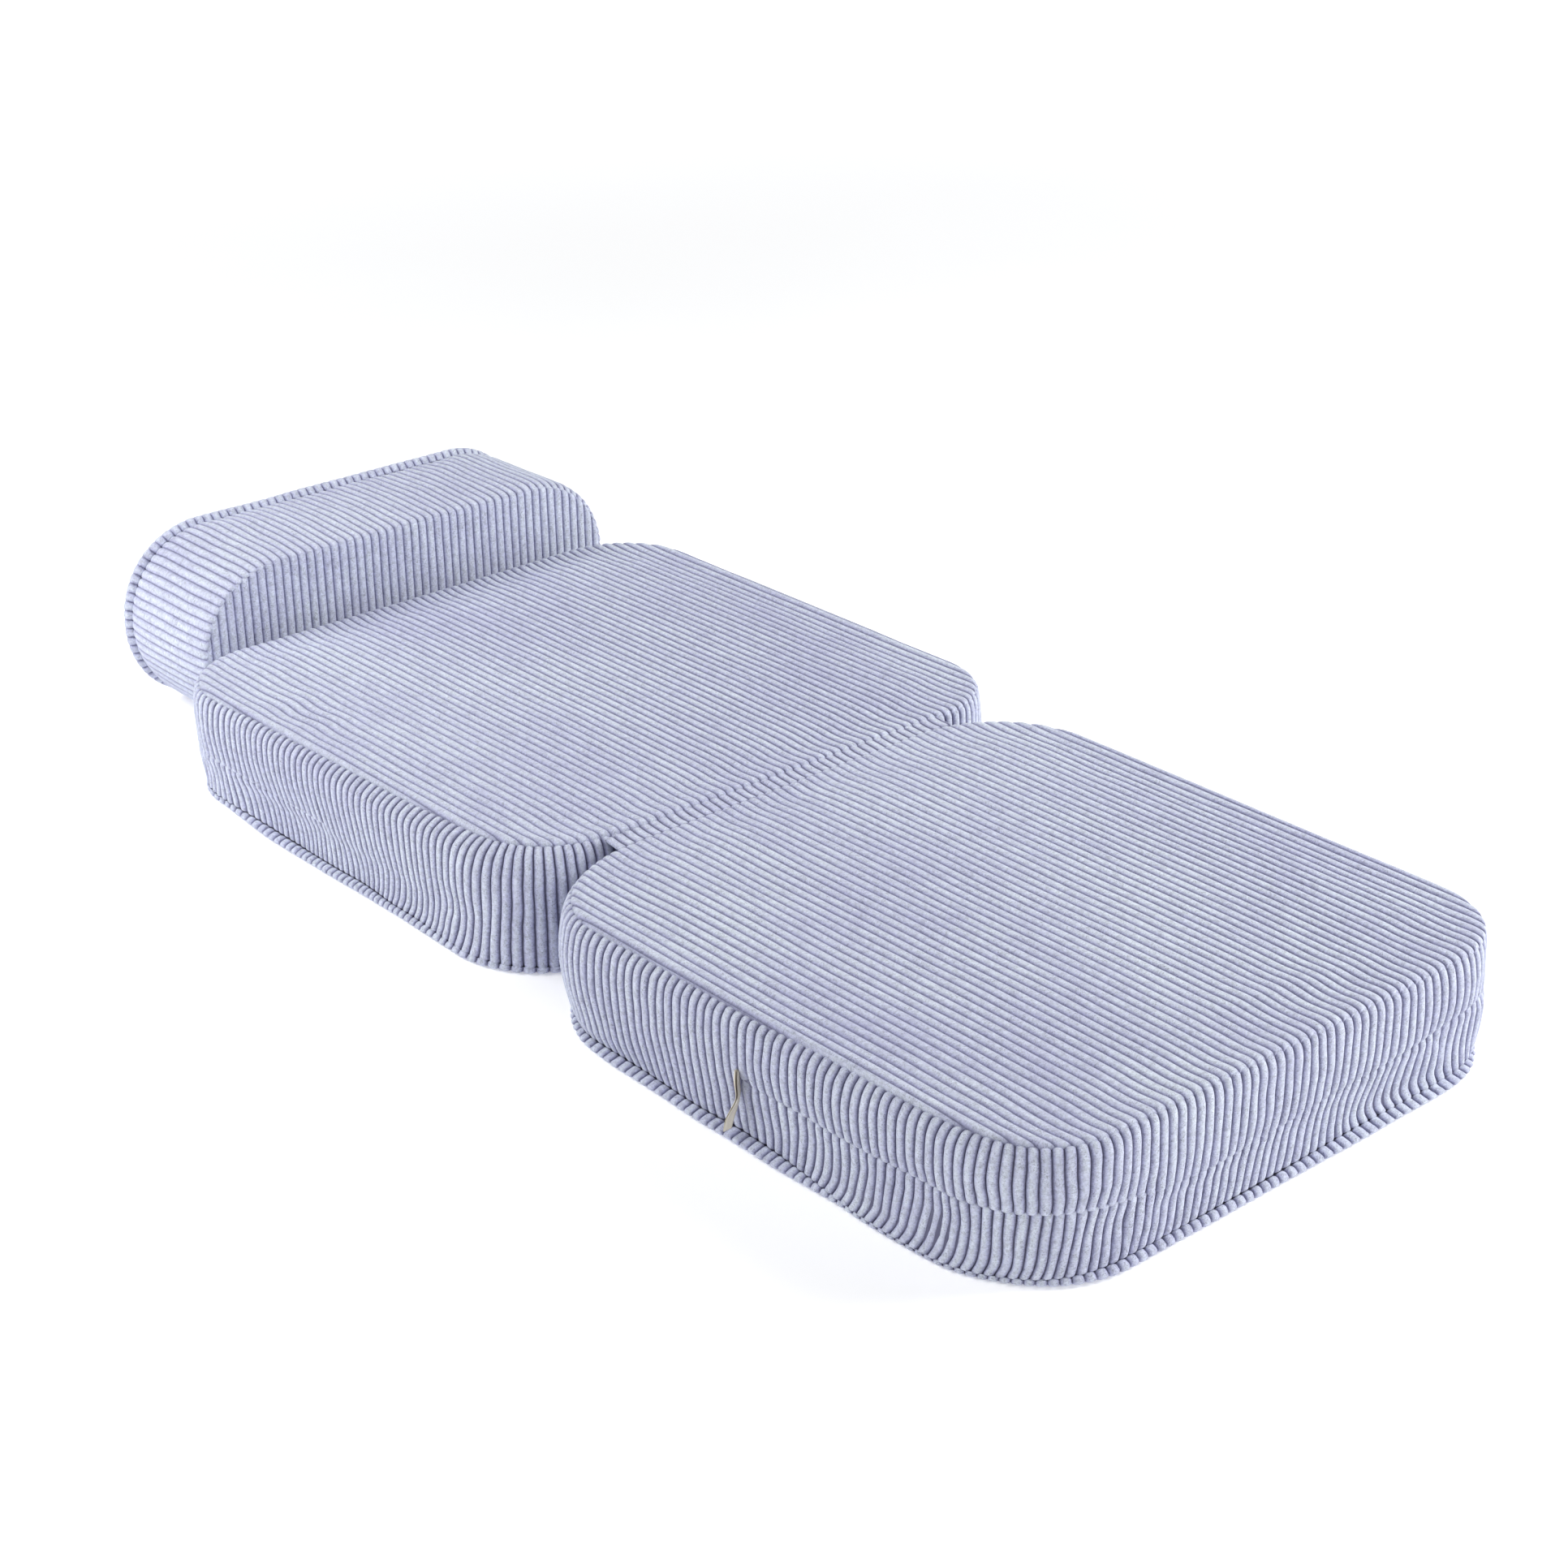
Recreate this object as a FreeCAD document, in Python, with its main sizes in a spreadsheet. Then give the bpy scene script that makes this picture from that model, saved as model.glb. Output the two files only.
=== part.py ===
import FreeCAD, Part
import os
import Sketcher

# Folding armchair laid flat: a base block at the foot, a seat block hinged to it along
# their top edges, and a backrest bolster hinged to the seat block along its bottom edge.
# Every block is a foam core in its own sewn cover: a top and a bottom panel, a side band
# (boxing) whose far half is two strips joined by a zip, and a stitched welt round the
# bottom seam. Frame: +X right, +Y from the foot to the head end, +Z up, the floor at z = 0.
# All sizes are in millimetres.

V = FreeCAD.Vector
doc = FreeCAD.newDocument("folding_armchair")

SIZES = [
    ("seat_width", 600.0, "seat block across X"),
    ("seat_length", 609.0, "seat block along Y"),
    ("seat_corner", 89.0, "seat block's corner radius in plan"),
    ("seat_x", 12.5, "seat block's centre in X"),
    ("base_width", 587.0, "base block across X"),
    ("base_length", 629.0, "base block along Y"),
    ("base_corner_foot", 94.0, "base block's corner radius at the foot"),
    ("base_corner_hinge", 110.0, "base block's corner radius at the hinge"),
    ("base_x", -16.1, "base block's centre in X"),
    ("block_height", 120.0, "height of the base and seat blocks"),
    ("hinge_y", -80.0, "Y of the top hinge line, mid-way in the gap between the blocks"),
    ("hinge_gap", 23.2, "gap between the base and the seat block"),
    ("rear_gap", 21.9, "gap between the seat block and the bolster"),
    ("bolster_width", 516.0, "bolster across X"),
    ("bolster_height", 194.0, "bolster's height"),
    ("bolster_depth", 167.0, "bolster along Y"),
    ("bolster_corner", 94.0, "bolster's corner radius seen from the front"),
    ("bolster_x", 24.5, "bolster's centre in X"),
    ("cover", 3.0, "thickness of a cover panel with its lining"),
    ("core_inset", 4.2, "foam core's inset from the cover's outside"),
    ("core_round", 8.0, "rounding of the foam core's edges"),
    ("edge_round", 2.6, "rounding of a cover panel's outer edge"),
    ("welt_out", 9.0, "how far the welt stands out"),
    ("welt_tall", 11.0, "height of the welt"),
    ("welt_round", 2.2, "rounding of the welt's outer edges"),
    ("bolster_welt_out", 5.0, "how far the bolster's welt stands out"),
    ("base_zip_level", 57.0, "height of the zip line on the base block"),
    ("seat_zip_level", 51.0, "height of the zip line on the seat block"),
    ("zip_half_slot", 0.8, "half of the slot between the two zipped strips"),
    ("zip_tape_wide", 24.0, "width of the zip tape"),
    ("zip_tape_thick", 1.0, "thickness of the zip tape"),
    ("zip_coil_half", 0.5, "half of the coil's thickness in the slot"),
    ("zip_coil_deep", 1.8, "how far the coil stands into the slot"),
    ("base_zip_start", 13.0, "join of the plain and zipped strips, base, from its centre"),
    ("seat_zip_start", 20.0, "join of the plain and zipped strips, seat, from its centre"),
    ("bolster_zip_depth", 83.5, "zip line of the bolster, back from its front face"),
    ("slider_long", 11.0, "zip slider along the zip"),
    ("slider_wide", 7.0, "zip slider across the zip"),
    ("slider_out", 2.6, "zip slider's height off the cover"),
    ("pull_long", 16.0, "pull tab's length"),
    ("pull_wide", 4.6, "pull tab's width"),
    ("pull_thick", 1.2, "pull tab's thickness"),
    ("label_tall", 52.0, "side label's height"),
    ("label_out", 12.0, "how far the side label stands out of the seam"),
    ("label_leaf", 0.5, "thickness of one leaf of the folded label"),
    ("label_fold", 0.7, "space inside the label's fold"),
    ("label_level", 12.0, "bottom of the side label"),
    ("top_strip_width", 404.0, "top hinge strip across X"),
    ("top_strip_x", 6.5, "top hinge strip's centre in X"),
    ("top_strip_level", 113.4, "underside of the top hinge strip"),
    ("top_strip_thick", 3.2, "thickness of the top hinge strip"),
    ("rear_strip_width", 318.0, "rear hinge strip across X"),
    ("rear_strip_thick", 1.8, "thickness of the rear hinge strip"),
    ("free_gap", 0.3, "gap kept between pieces of different blocks"),
]

sheet = doc.addObject("Spreadsheet::Sheet", "sizes")
sheet.Label = "sizes"
for row, (alias, value, what) in enumerate(SIZES, 1):
    sheet.set("A%d" % row, what)
    sheet.set("B%d" % row, "%g" % value)
    sheet.setAlias("B%d" % row, alias)
doc.recompute()
val = dict((alias, value) for alias, value, _ in SIZES)

nodes = []


def bind(obj, prop, expression):
    """Binds a property to an expression in which $name is a cell of the sheet."""
    obj.setExpression(prop, expression.replace("$", "sizes."))


def plane(body, role):
    return [f for f in body.Origin.OriginFeatures if f.Role == role][0]


def new_body(name, x, y, z="0"):
    body = doc.addObject("PartDesign::Body", name)
    body.Label = name
    bind(body, "Placement.Base.x", x)
    bind(body, "Placement.Base.y", y)
    bind(body, "Placement.Base.z", z)
    nodes.append(body)
    return body


def rectangle(body, name, role, x0, x1, y0, y1, level="0"):
    """A rectangle from x0 to x1 and y0 to y1 in the plane, each an expression."""
    sk = body.newObject("Sketcher::SketchObject", name)
    sk.AttachmentSupport = [(plane(body, role), "")]
    sk.MapMode = "FlatFace"
    if level != "0":
        bind(sk, "AttachmentOffset.Base.z", level)
    pts = [V(-10, -10, 0), V(10, -10, 0), V(10, 10, 0), V(-10, 10, 0)]
    for k in range(4):
        sk.addGeometry(Part.LineSegment(pts[k], pts[(k + 1) % 4]), False)
    for k in range(4):
        sk.addConstraint(Sketcher.Constraint("Coincident", k, 2, (k + 1) % 4, 1))
    for k in (0, 2):
        sk.addConstraint(Sketcher.Constraint("Horizontal", k))
    for k in (1, 3):
        sk.addConstraint(Sketcher.Constraint("Vertical", k))
    for label, kind, geo, point, value in (
        ("left", "DistanceX", 0, 1, x0),
        ("low", "DistanceY", 0, 1, y0),
        ("right", "DistanceX", 2, 1, x1),
        ("high", "DistanceY", 2, 1, y1),
    ):
        number = 10.0 if label in ("right", "high") else -10.0
        i = sk.addConstraint(Sketcher.Constraint(kind, -1, 1, geo, point, number))
        sk.renameConstraint(i, label)
        bind(sk, "Constraints." + label, value)
    doc.recompute()
    return sk


def pad(body, sk, name, length, reverse=False):
    feature = body.newObject("PartDesign::Pad", name)
    feature.Profile = sk
    feature.Reversed = reverse
    bind(feature, "Length", length)
    sk.Visibility = False
    doc.recompute()
    return feature


def pocket(body, sk, name):
    """Cuts right through on both sides of the sketch, and says so if nothing was cut."""
    before = body.Shape.Volume
    feature = body.newObject("PartDesign::Pocket", name)
    feature.Profile = sk
    feature.Type = 1
    feature.Midplane = True
    doc.recompute()
    after = body.Shape.Volume
    if not after < before - 1.0:
        raise RuntimeError("%s of %s cuts nothing" % (name, body.Label))
    return feature


def edges_along(shape, axis, test):
    """Names of the straight edges along axis whose middle passes the test."""
    found = []
    for i, e in enumerate(shape.Edges, 1):
        if not isinstance(e.Curve, (Part.Line, Part.LineSegment)):
            continue
        d = e.Vertexes[-1].Point - e.Vertexes[0].Point
        if abs(abs(d.normalize().dot(axis)) - 1) < 1e-6:
            m = e.valueAt((e.FirstParameter + e.LastParameter) / 2)
            if test(m):
                found.append("Edge%d" % i)
    return found


def fillet(body, feature, name, edge_names, radius):
    if not edge_names:
        raise RuntimeError("%s of %s has no edges" % (name, body.Label))
    f = body.newObject("PartDesign::Fillet", name)
    f.Base = (feature, edge_names)
    bind(f, "Radius", radius)
    doc.recompute()
    return f


def number(expression):
    """The number that an expression of cells gives now."""
    return float(sheet.evalExpression(expression.replace("$", "")))


def rounded(body, name, role, loops, level="0"):
    """A sketch of rounded rectangles, one loop or two: each is x0, x1, y0, y1, the corner
    radius on the low side and the corner radius on the high side, as expressions."""
    sk = body.newObject("Sketcher::SketchObject", name)
    sk.AttachmentSupport = [(plane(body, role), "")]
    sk.MapMode = "FlatFace"
    if level != "0":
        bind(sk, "AttachmentOffset.Base.z", level)
    for n, loop in enumerate(loops):
        x0, x1, y0, y1, rl, rh = [number(e) for e in loop]
        g = 8 * n
        quarter = 1.5707963267948966
        # bottom line, then round anticlockwise: line, arc, line, arc ...
        centres = [V(x1 - rl, y0 + rl, 0), V(x1 - rh, y1 - rh, 0), V(x0 + rh, y1 - rh, 0), V(x0 + rl, y0 + rl, 0)]
        radii = [rl, rh, rh, rl]
        lines = [
            (V(x0 + rl, y0, 0), V(x1 - rl, y0, 0)), (V(x1, y0 + rl, 0), V(x1, y1 - rh, 0)),
            (V(x1 - rh, y1, 0), V(x0 + rh, y1, 0)), (V(x0, y1 - rh, 0), V(x0, y0 + rl, 0)),
        ]
        for k in range(4):
            sk.addGeometry(Part.LineSegment(*lines[k]), False)
            circle = Part.Circle(centres[k], V(0, 0, 1), radii[k])
            sk.addGeometry(Part.ArcOfCircle(circle, (k - 1) * quarter, k * quarter), False)
        for k in range(4):
            line, arc, after = g + 2 * k, g + 2 * k + 1, g + (2 * k + 2) % 8
            sk.addConstraint(Sketcher.Constraint("Tangent", line, 2, arc, 1))
            sk.addConstraint(Sketcher.Constraint("Tangent", arc, 2, after, 1))
            sk.addConstraint(Sketcher.Constraint("Vertical" if k % 2 else "Horizontal", line))
        sk.addConstraint(Sketcher.Constraint("Equal", g + 1, g + 7))
        sk.addConstraint(Sketcher.Constraint("Equal", g + 3, g + 5))
        for label, con, expression in (
            ("left%d" % n, Sketcher.Constraint("DistanceX", -1, 1, g + 6, 1, x0), loop[0]),
            ("right%d" % n, Sketcher.Constraint("DistanceX", -1, 1, g + 2, 1, x1), loop[1]),
            ("low%d" % n, Sketcher.Constraint("DistanceY", -1, 1, g, 1, y0), loop[2]),
            ("high%d" % n, Sketcher.Constraint("DistanceY", -1, 1, g + 4, 1, y1), loop[3]),
            ("corner_low%d" % n, Sketcher.Constraint("Radius", g + 1, rl), loop[4]),
            ("corner_high%d" % n, Sketcher.Constraint("Radius", g + 3, rh), loop[5]),
        ):
            i = sk.addConstraint(con)
            sk.renameConstraint(i, label)
            bind(sk, "Constraints." + label, expression)
    doc.recompute()
    return sk


UP = V(0, 0, 1)
FRONT = V(0, 1, 0)


# ------------------------------------------------------------------ the two flat blocks
def rim(feature, level, tol=0.01):
    """Names of the edges that lie flat at one height of the feature."""
    found = []
    for i, e in enumerate(feature.Shape.Edges, 1):
        box = e.BoundBox
        if abs(box.ZMin - level) < tol and abs(box.ZMax - level) < tol:
            found.append("Edge%d" % i)
    return found


def outline(inset, corner_low, corner_high, wide, long_):
    """The block's outline in plan, inset by an expression."""
    return (
        "-%s / 2 + (%s)" % (wide, inset), "%s / 2 - (%s)" % (wide, inset),
        "-%s / 2 + (%s)" % (long_, inset), "%s / 2 - (%s)" % (long_, inset),
        "%s - (%s)" % (corner_low, inset), "%s - (%s)" % (corner_high, inset),
    )


def plan(body, name, inset, corner_low, corner_high, wide, long_, z0, height):
    """A prism of the block's outline, inset by an expression."""
    loop = outline(inset, corner_low, corner_high, wide, long_)
    return pad(body, rounded(body, name + "_outline", "XY_Plane", [loop], z0), name, height)


def ring(body, name, outer_inset, inner_inset, corner_low, corner_high, wide, long_, z0, height):
    """A band of the block's outline between two insets."""
    loops = [outline(i, corner_low, corner_high, wide, long_) for i in (outer_inset, inner_inset)]
    return pad(body, rounded(body, name + "_outline", "XY_Plane", loops, z0), name, height)


def keep_side(body, name, wide, long_, start, far_is_low, keep_far):
    """Keeps only the part of a band on one side of the join of the plain and zipped strips."""
    cut_low = far_is_low != keep_far
    y0 = "-%s" % long_ if cut_low else start
    y1 = start if cut_low else "%s" % long_
    sk = rectangle(body, name + "_line", "XY_Plane", "-%s" % wide, wide, y0, y1)
    return pocket(body, sk, name)


def block(prefix, wide, long_, corner_low, corner_high, x, y, start, far_is_low):
    geo = (corner_low, corner_high, wide, long_)
    side_low = "$cover"
    side_tall = "$block_height - 2 * $cover"

    # foam core, with its edges rounded
    b = new_body(prefix + "_foam_core", x, y)
    core = plan(b, "core", "$core_inset", *geo, "$cover", side_tall)
    top = val["block_height"] - val["cover"]
    fillet(b, core, "core_edges", rim(core, top) + rim(core, val["cover"]), "$core_round")

    # bottom panel, flat on the floor, and top panel with a soft outer edge
    b = new_body(prefix + "_bottom_panel", x, y)
    plan(b, "panel", "0", *geo, "0", "$cover")
    b = new_body(prefix + "_top_panel", x, y)
    p = plan(b, "panel", "0", *geo, "$block_height - $cover", "$cover")
    fillet(b, p, "soft_edge", rim(p, val["block_height"]), "$edge_round")

    # side band: one plain strip on the hinge half, two zipped strips on the far half
    b = new_body(prefix + "_plain_boxing", x, y)
    ring(b, "band", "0", "$cover", *geo, side_low, side_tall)
    keep_side(b, "join", wide, long_, start, far_is_low, False)
    b = new_body(prefix + "_zip_boxing_upper", x, y)
    ring(b, "band", "0", "$cover", *geo, "$" + prefix + "_zip_level + $zip_half_slot",
         "$block_height - $cover - $" + prefix + "_zip_level - $zip_half_slot")
    keep_side(b, "join", wide, long_, start, far_is_low, True)
    b = new_body(prefix + "_zip_boxing_lower", x, y)
    ring(b, "band", "0", "$cover", *geo, side_low, "$" + prefix + "_zip_level - $zip_half_slot - $cover")
    keep_side(b, "join", wide, long_, start, far_is_low, True)

    # zip: a tape behind the two strips, with its coil standing in the slot between them
    b = new_body(prefix + "_zip", x, y)
    ring(b, "tape", "$cover", "$cover + $zip_tape_thick", *geo,
         "$" + prefix + "_zip_level - $zip_tape_wide / 2", "$zip_tape_wide")
    keep_side(b, "join", wide, long_, start, far_is_low, True)
    tape = b
    nodes.remove(tape)
    tape.Label = prefix + "_zip_tape_band"
    b = new_body(prefix + "_zip_coil_band", x, y)
    ring(b, "coil", "$cover - $zip_coil_deep", "$cover", *geo,
         "$" + prefix + "_zip_level - $zip_coil_half", "2 * $zip_coil_half")
    keep_side(b, "join", wide, long_, start, far_is_low, True)
    coil = b
    nodes.remove(coil)
    zip_ = doc.addObject("Part::Fuse", prefix + "_zip_fuse")
    zip_.Base = tape
    zip_.Tool = coil
    zip_.Label = prefix + "_zip"
    doc.recompute()
    nodes.append(zip_)

    # welt round the bottom seam, with rounded outer edges
    b = new_body(prefix + "_welt", x, y)
    w = ring(b, "welt", "-$welt_out", "0", *geo, "0", "$welt_tall")
    outer = []
    for level in (0.0, val["welt_tall"]):
        for i, e in enumerate(w.Shape.Edges, 1):
            box = e.BoundBox
            if abs(box.ZMin - level) > 0.01 or abs(box.ZMax - level) > 0.01:
                continue
            c = e.CenterOfMass
            reach = max(abs(c.x) / (val[wide[1:]] / 2), abs(c.y) / (val[long_[1:]] / 2))
            if isinstance(e.Curve, (Part.Line, Part.LineSegment)):
                if reach > 1.003:
                    outer.append("Edge%d" % i)
            else:
                low = c.y < 0
                r = val[(corner_low if low else corner_high)[1:]]
                if e.Curve.Radius > r + 1:
                    outer.append("Edge%d" % i)
    fillet(b, w, "welt_edges", outer, "$welt_round")


def slider(name, x, y, z, out, along, hang):
    """A zip slider on the cover: a rounded body, a web down to the coil and a flat pull tab.
    out is the way it stands off the cover (+1 along X), along the zip's own direction."""
    parts = []

    def cuboid(part, sx, sy, sz, px, py, pz):
        c = doc.addObject("Part::Box", name + "_" + part)
        bind(c, "Length", sx)
        bind(c, "Width", sy)
        bind(c, "Height", sz)
        bind(c, "Placement.Base.x", px)
        bind(c, "Placement.Base.y", py)
        bind(c, "Placement.Base.z", pz)
        parts.append(c)
        return c

    cuboid("body", "$slider_out", "$slider_long", "$slider_wide", x, "%s - $slider_long / 2" % y, "%s - $slider_wide / 2" % z)
    cuboid("web", "$cover - $zip_coil_deep + 0.01", "$slider_long - 2", "2 * $zip_coil_half",
           "%s - ($cover - $zip_coil_deep)" % x, "%s - $slider_long / 2 + 1" % y, "%s - $zip_coil_half" % z)
    cuboid("pull", "$pull_thick", "$pull_long", "$pull_wide",
           "%s + $slider_out - 0.4" % x, "%s %s" % (y, hang), "%s - $pull_wide / 2" % z)
    doc.recompute()
    fuse = doc.addObject("Part::MultiFuse", name)
    fuse.Shapes = parts
    fuse.Label = name
    doc.recompute()
    nodes.append(fuse)


BASE_Y = "$hinge_y - $hinge_gap / 2 - $base_length / 2"
SEAT_Y = "$hinge_y + $hinge_gap / 2 + $seat_length / 2"
BOLSTER_Y = "$hinge_y + $hinge_gap / 2 + $seat_length + $rear_gap"

block("base", "$base_width", "$base_length", "$base_corner_foot", "$base_corner_hinge",
      "$base_x", BASE_Y, "$base_zip_start", True)
block("seat", "$seat_width", "$seat_length", "$seat_corner", "$seat_corner",
      "$seat_x", SEAT_Y, "$seat_zip_start", False)

# each block's zip ends on its +X side, where its slider parks at the join of the strips
slider("base_zip_slider", "$base_x + $base_width / 2", BASE_Y + " + $base_zip_start - 14",
       "$base_zip_level", 1, "y", "- $pull_long - 1")
slider("seat_zip_slider", "$seat_x + $seat_width / 2", SEAT_Y + " + $seat_zip_start + 14",
       "$seat_zip_level", 1, "y", "+ 1")

# side label: one leaf of woven tape folded back on itself, sewn into the join of the strips
label = new_body("side_label", "$base_x - $base_width / 2", BASE_Y + " + $base_zip_start", "$label_level")
sk = label.newObject("Sketcher::SketchObject", "label_section")
sk.AttachmentSupport = [(plane(label, "XY_Plane"), "")]
sk.MapMode = "FlatFace"
ri, ro, lo = val["label_fold"] / 2, val["label_fold"] / 2 + val["label_leaf"], -(val["label_out"] - val["label_fold"] / 2 - val["label_leaf"])
g = [
    Part.LineSegment(V(0, ro, 0), V(lo, ro, 0)),
    Part.ArcOfCircle(Part.Circle(V(lo, 0, 0), V(0, 0, 1), ro), 1.5707963, 4.7123890),
    Part.LineSegment(V(lo, -ro, 0), V(0, -ro, 0)),
    Part.LineSegment(V(0, -ro, 0), V(0, -ri, 0)),
    Part.LineSegment(V(0, -ri, 0), V(lo, -ri, 0)),
    Part.ArcOfCircle(Part.Circle(V(lo, 0, 0), V(0, 0, 1), ri), 1.5707963, 4.7123890),
    Part.LineSegment(V(lo, ri, 0), V(0, ri, 0)),
    Part.LineSegment(V(0, ri, 0), V(0, ro, 0)),
]
for piece in g:
    sk.addGeometry(piece, False)
C = Sketcher.Constraint
for c in (
    C("Tangent", 0, 2, 1, 1), C("Tangent", 1, 2, 2, 1), C("Coincident", 2, 2, 3, 1),
    C("Coincident", 3, 2, 4, 1), C("Tangent", 4, 2, 5, 2), C("Tangent", 5, 1, 6, 1),
    C("Coincident", 6, 2, 7, 1), C("Coincident", 7, 2, 0, 1),
    C("Horizontal", 0), C("Horizontal", 2), C("Horizontal", 4), C("Horizontal", 6),
    C("Vertical", 3), C("Vertical", 7), C("Coincident", 1, 3, 5, 3),
    C("PointOnObject", 1, 3, -1), C("PointOnObject", 3, 1, -2),
):
    sk.addConstraint(c)
for label_name, con, expr in (
    ("outer", C("Radius", 1, ro), "$label_fold / 2 + $label_leaf"),
    ("inner", C("Radius", 5, ri), "$label_fold / 2"),
    ("reach", C("DistanceX", 1, 3, -1, 1, -lo), "$label_out - $label_fold / 2 - $label_leaf"),
):
    i = sk.addConstraint(con)
    sk.renameConstraint(i, label_name)
    bind(sk, "Constraints." + label_name, expr)
doc.recompute()
pad(label, sk, "label_leaves", "$label_tall")

# top hinge strip, sewn between the two top panels
b = new_body("top_hinge_strip", "$top_strip_x", "$hinge_y")
sk = rectangle(b, "strip_outline", "XY_Plane", "-$top_strip_width / 2", "$top_strip_width / 2",
               "-$hinge_gap / 2", "$hinge_gap / 2 - $free_gap", "$top_strip_level")
pad(b, sk, "strip", "$top_strip_thick")

# rear hinge strip, flat on the floor between the seat block's welt and the bolster
b = new_body("rear_hinge_strip", "$bolster_x", BOLSTER_Y)
sk = rectangle(b, "strip_outline", "XY_Plane", "-$rear_strip_width / 2", "$rear_strip_width / 2",
               "-$rear_gap + $welt_out", "-$free_gap")
pad(b, sk, "strip", "$rear_strip_thick")


# ------------------------------------------------------------------ the bolster
# Its profile is a rounded rectangle seen along Y. The body's origin is at the middle of
# its front face on the floor, and the sketches lie in the XZ plane.
def section(inset):
    """The bolster's rounded profile seen from the front, inset by an expression."""
    return (
        "-$bolster_width / 2 + (%s)" % inset, "$bolster_width / 2 - (%s)" % inset,
        inset, "$bolster_height - (%s)" % inset,
        "$bolster_corner - (%s)" % inset, "$bolster_corner - (%s)" % inset,
    )


def along_y(body, name, loops, y0, depth):
    """A prism of the loops from y0 back by depth. The XZ plane's normal is -Y."""
    p = pad(body, rounded(body, name + "_outline", "XZ_Plane", loops, "-(%s)" % y0), name, depth, True)
    box = p.Shape.BoundBox
    if abs(box.YMin - number(y0)) > 0.01 or abs(box.YMax - number(y0) - number(depth)) > 0.01:
        raise RuntimeError("%s of %s runs from y %g to %g" % (name, body.Label, box.YMin, box.YMax))
    return p


def profile(body, name, inset, y0, depth):
    return along_y(body, name, [section(inset)], y0, depth)


def tube(body, name, outer, inner, y0, depth):
    """A band of the bolster's profile between two insets."""
    return along_y(body, name, [section(outer), section(inner)], y0, depth)


def keep_zip_side(body):
    """Keeps the flat underside and the lower quarter of the +X end, where the zip runs."""
    sk = rectangle(body, "cut_left_line", "XZ_Plane", "-$bolster_width", "-$bolster_width / 2 + $bolster_corner",
                   "-$bolster_height", "2 * $bolster_height")
    pocket(body, sk, "cut_left")
    sk = rectangle(body, "cut_top_line", "XZ_Plane", "-$bolster_width", "$bolster_width",
                   "$bolster_height / 2", "2 * $bolster_height")
    pocket(body, sk, "cut_top")


b = new_body("bolster_foam_core", "$bolster_x", BOLSTER_Y)
core = profile(b, "core", "$core_inset", "$cover", "$bolster_depth - 2 * $cover")
ends = []
for i, e in enumerate(core.Shape.Edges, 1):
    box = e.BoundBox
    for level in (val["cover"], val["bolster_depth"] - val["cover"]):
        if abs(box.YMin - level) < 0.01 and abs(box.YMax - level) < 0.01:
            ends.append("Edge%d" % i)
fillet(b, core, "core_edges", ends, "$core_round")

b = new_body("bolster_front_panel", "$bolster_x", BOLSTER_Y)
p = profile(b, "panel", "0", "0", "$cover")
ends = [
    "Edge%d" % i for i, e in enumerate(p.Shape.Edges, 1)
    if abs(e.BoundBox.YMin) < 0.01 and abs(e.BoundBox.YMax) < 0.01 and e.BoundBox.ZMax > 1
]
fillet(b, p, "soft_edge", ends, "$edge_round")
b = new_body("bolster_back_panel", "$bolster_x", BOLSTER_Y)
profile(b, "panel", "0", "$bolster_depth - $cover", "$cover")

b = new_body("bolster_plain_band", "$bolster_x", BOLSTER_Y)
tube(b, "band", "0", "$cover", "$cover", "$bolster_depth - 2 * $cover")
sk = rectangle(b, "zip_side_line", "XZ_Plane", "-$bolster_width / 2 + $bolster_corner", "$bolster_width",
               "-$bolster_height", "$bolster_height / 2")
pocket(b, sk, "zip_side")
b = new_body("bolster_zip_band_front", "$bolster_x", BOLSTER_Y)
tube(b, "band", "0", "$cover", "$cover", "$bolster_zip_depth - $zip_half_slot - $cover")
keep_zip_side(b)
b = new_body("bolster_zip_band_rear", "$bolster_x", BOLSTER_Y)
tube(b, "band", "0", "$cover", "$bolster_zip_depth + $zip_half_slot",
     "$bolster_depth - $cover - $bolster_zip_depth - $zip_half_slot")
keep_zip_side(b)

b = new_body("bolster_zip_tape_band", "$bolster_x", BOLSTER_Y)
tube(b, "tape", "$cover", "$cover + $zip_tape_thick", "$bolster_zip_depth - $zip_tape_wide / 2", "$zip_tape_wide")
keep_zip_side(b)
tape = b
nodes.remove(b)
b = new_body("bolster_zip_coil_band", "$bolster_x", BOLSTER_Y)
tube(b, "coil", "$cover - $zip_coil_deep", "$cover", "$bolster_zip_depth - $zip_coil_half", "2 * $zip_coil_half")
keep_zip_side(b)
nodes.remove(b)
z = doc.addObject("Part::Fuse", "bolster_zip_fuse")
z.Base = tape
z.Tool = b
z.Label = "bolster_zip"
doc.recompute()
nodes.append(z)

# the welt follows the back seam over the ends and the top, and lies flush at the floor
b = new_body("bolster_welt", "$bolster_x", BOLSTER_Y)
along_y(b, "welt", [section("-$bolster_welt_out"), section("0")], "$bolster_depth - $welt_tall", "$welt_tall")
sk = rectangle(b, "floor_line", "XZ_Plane", "-$bolster_width", "$bolster_width", "-$bolster_height", "0")
pocket(b, sk, "floor_side")

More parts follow.
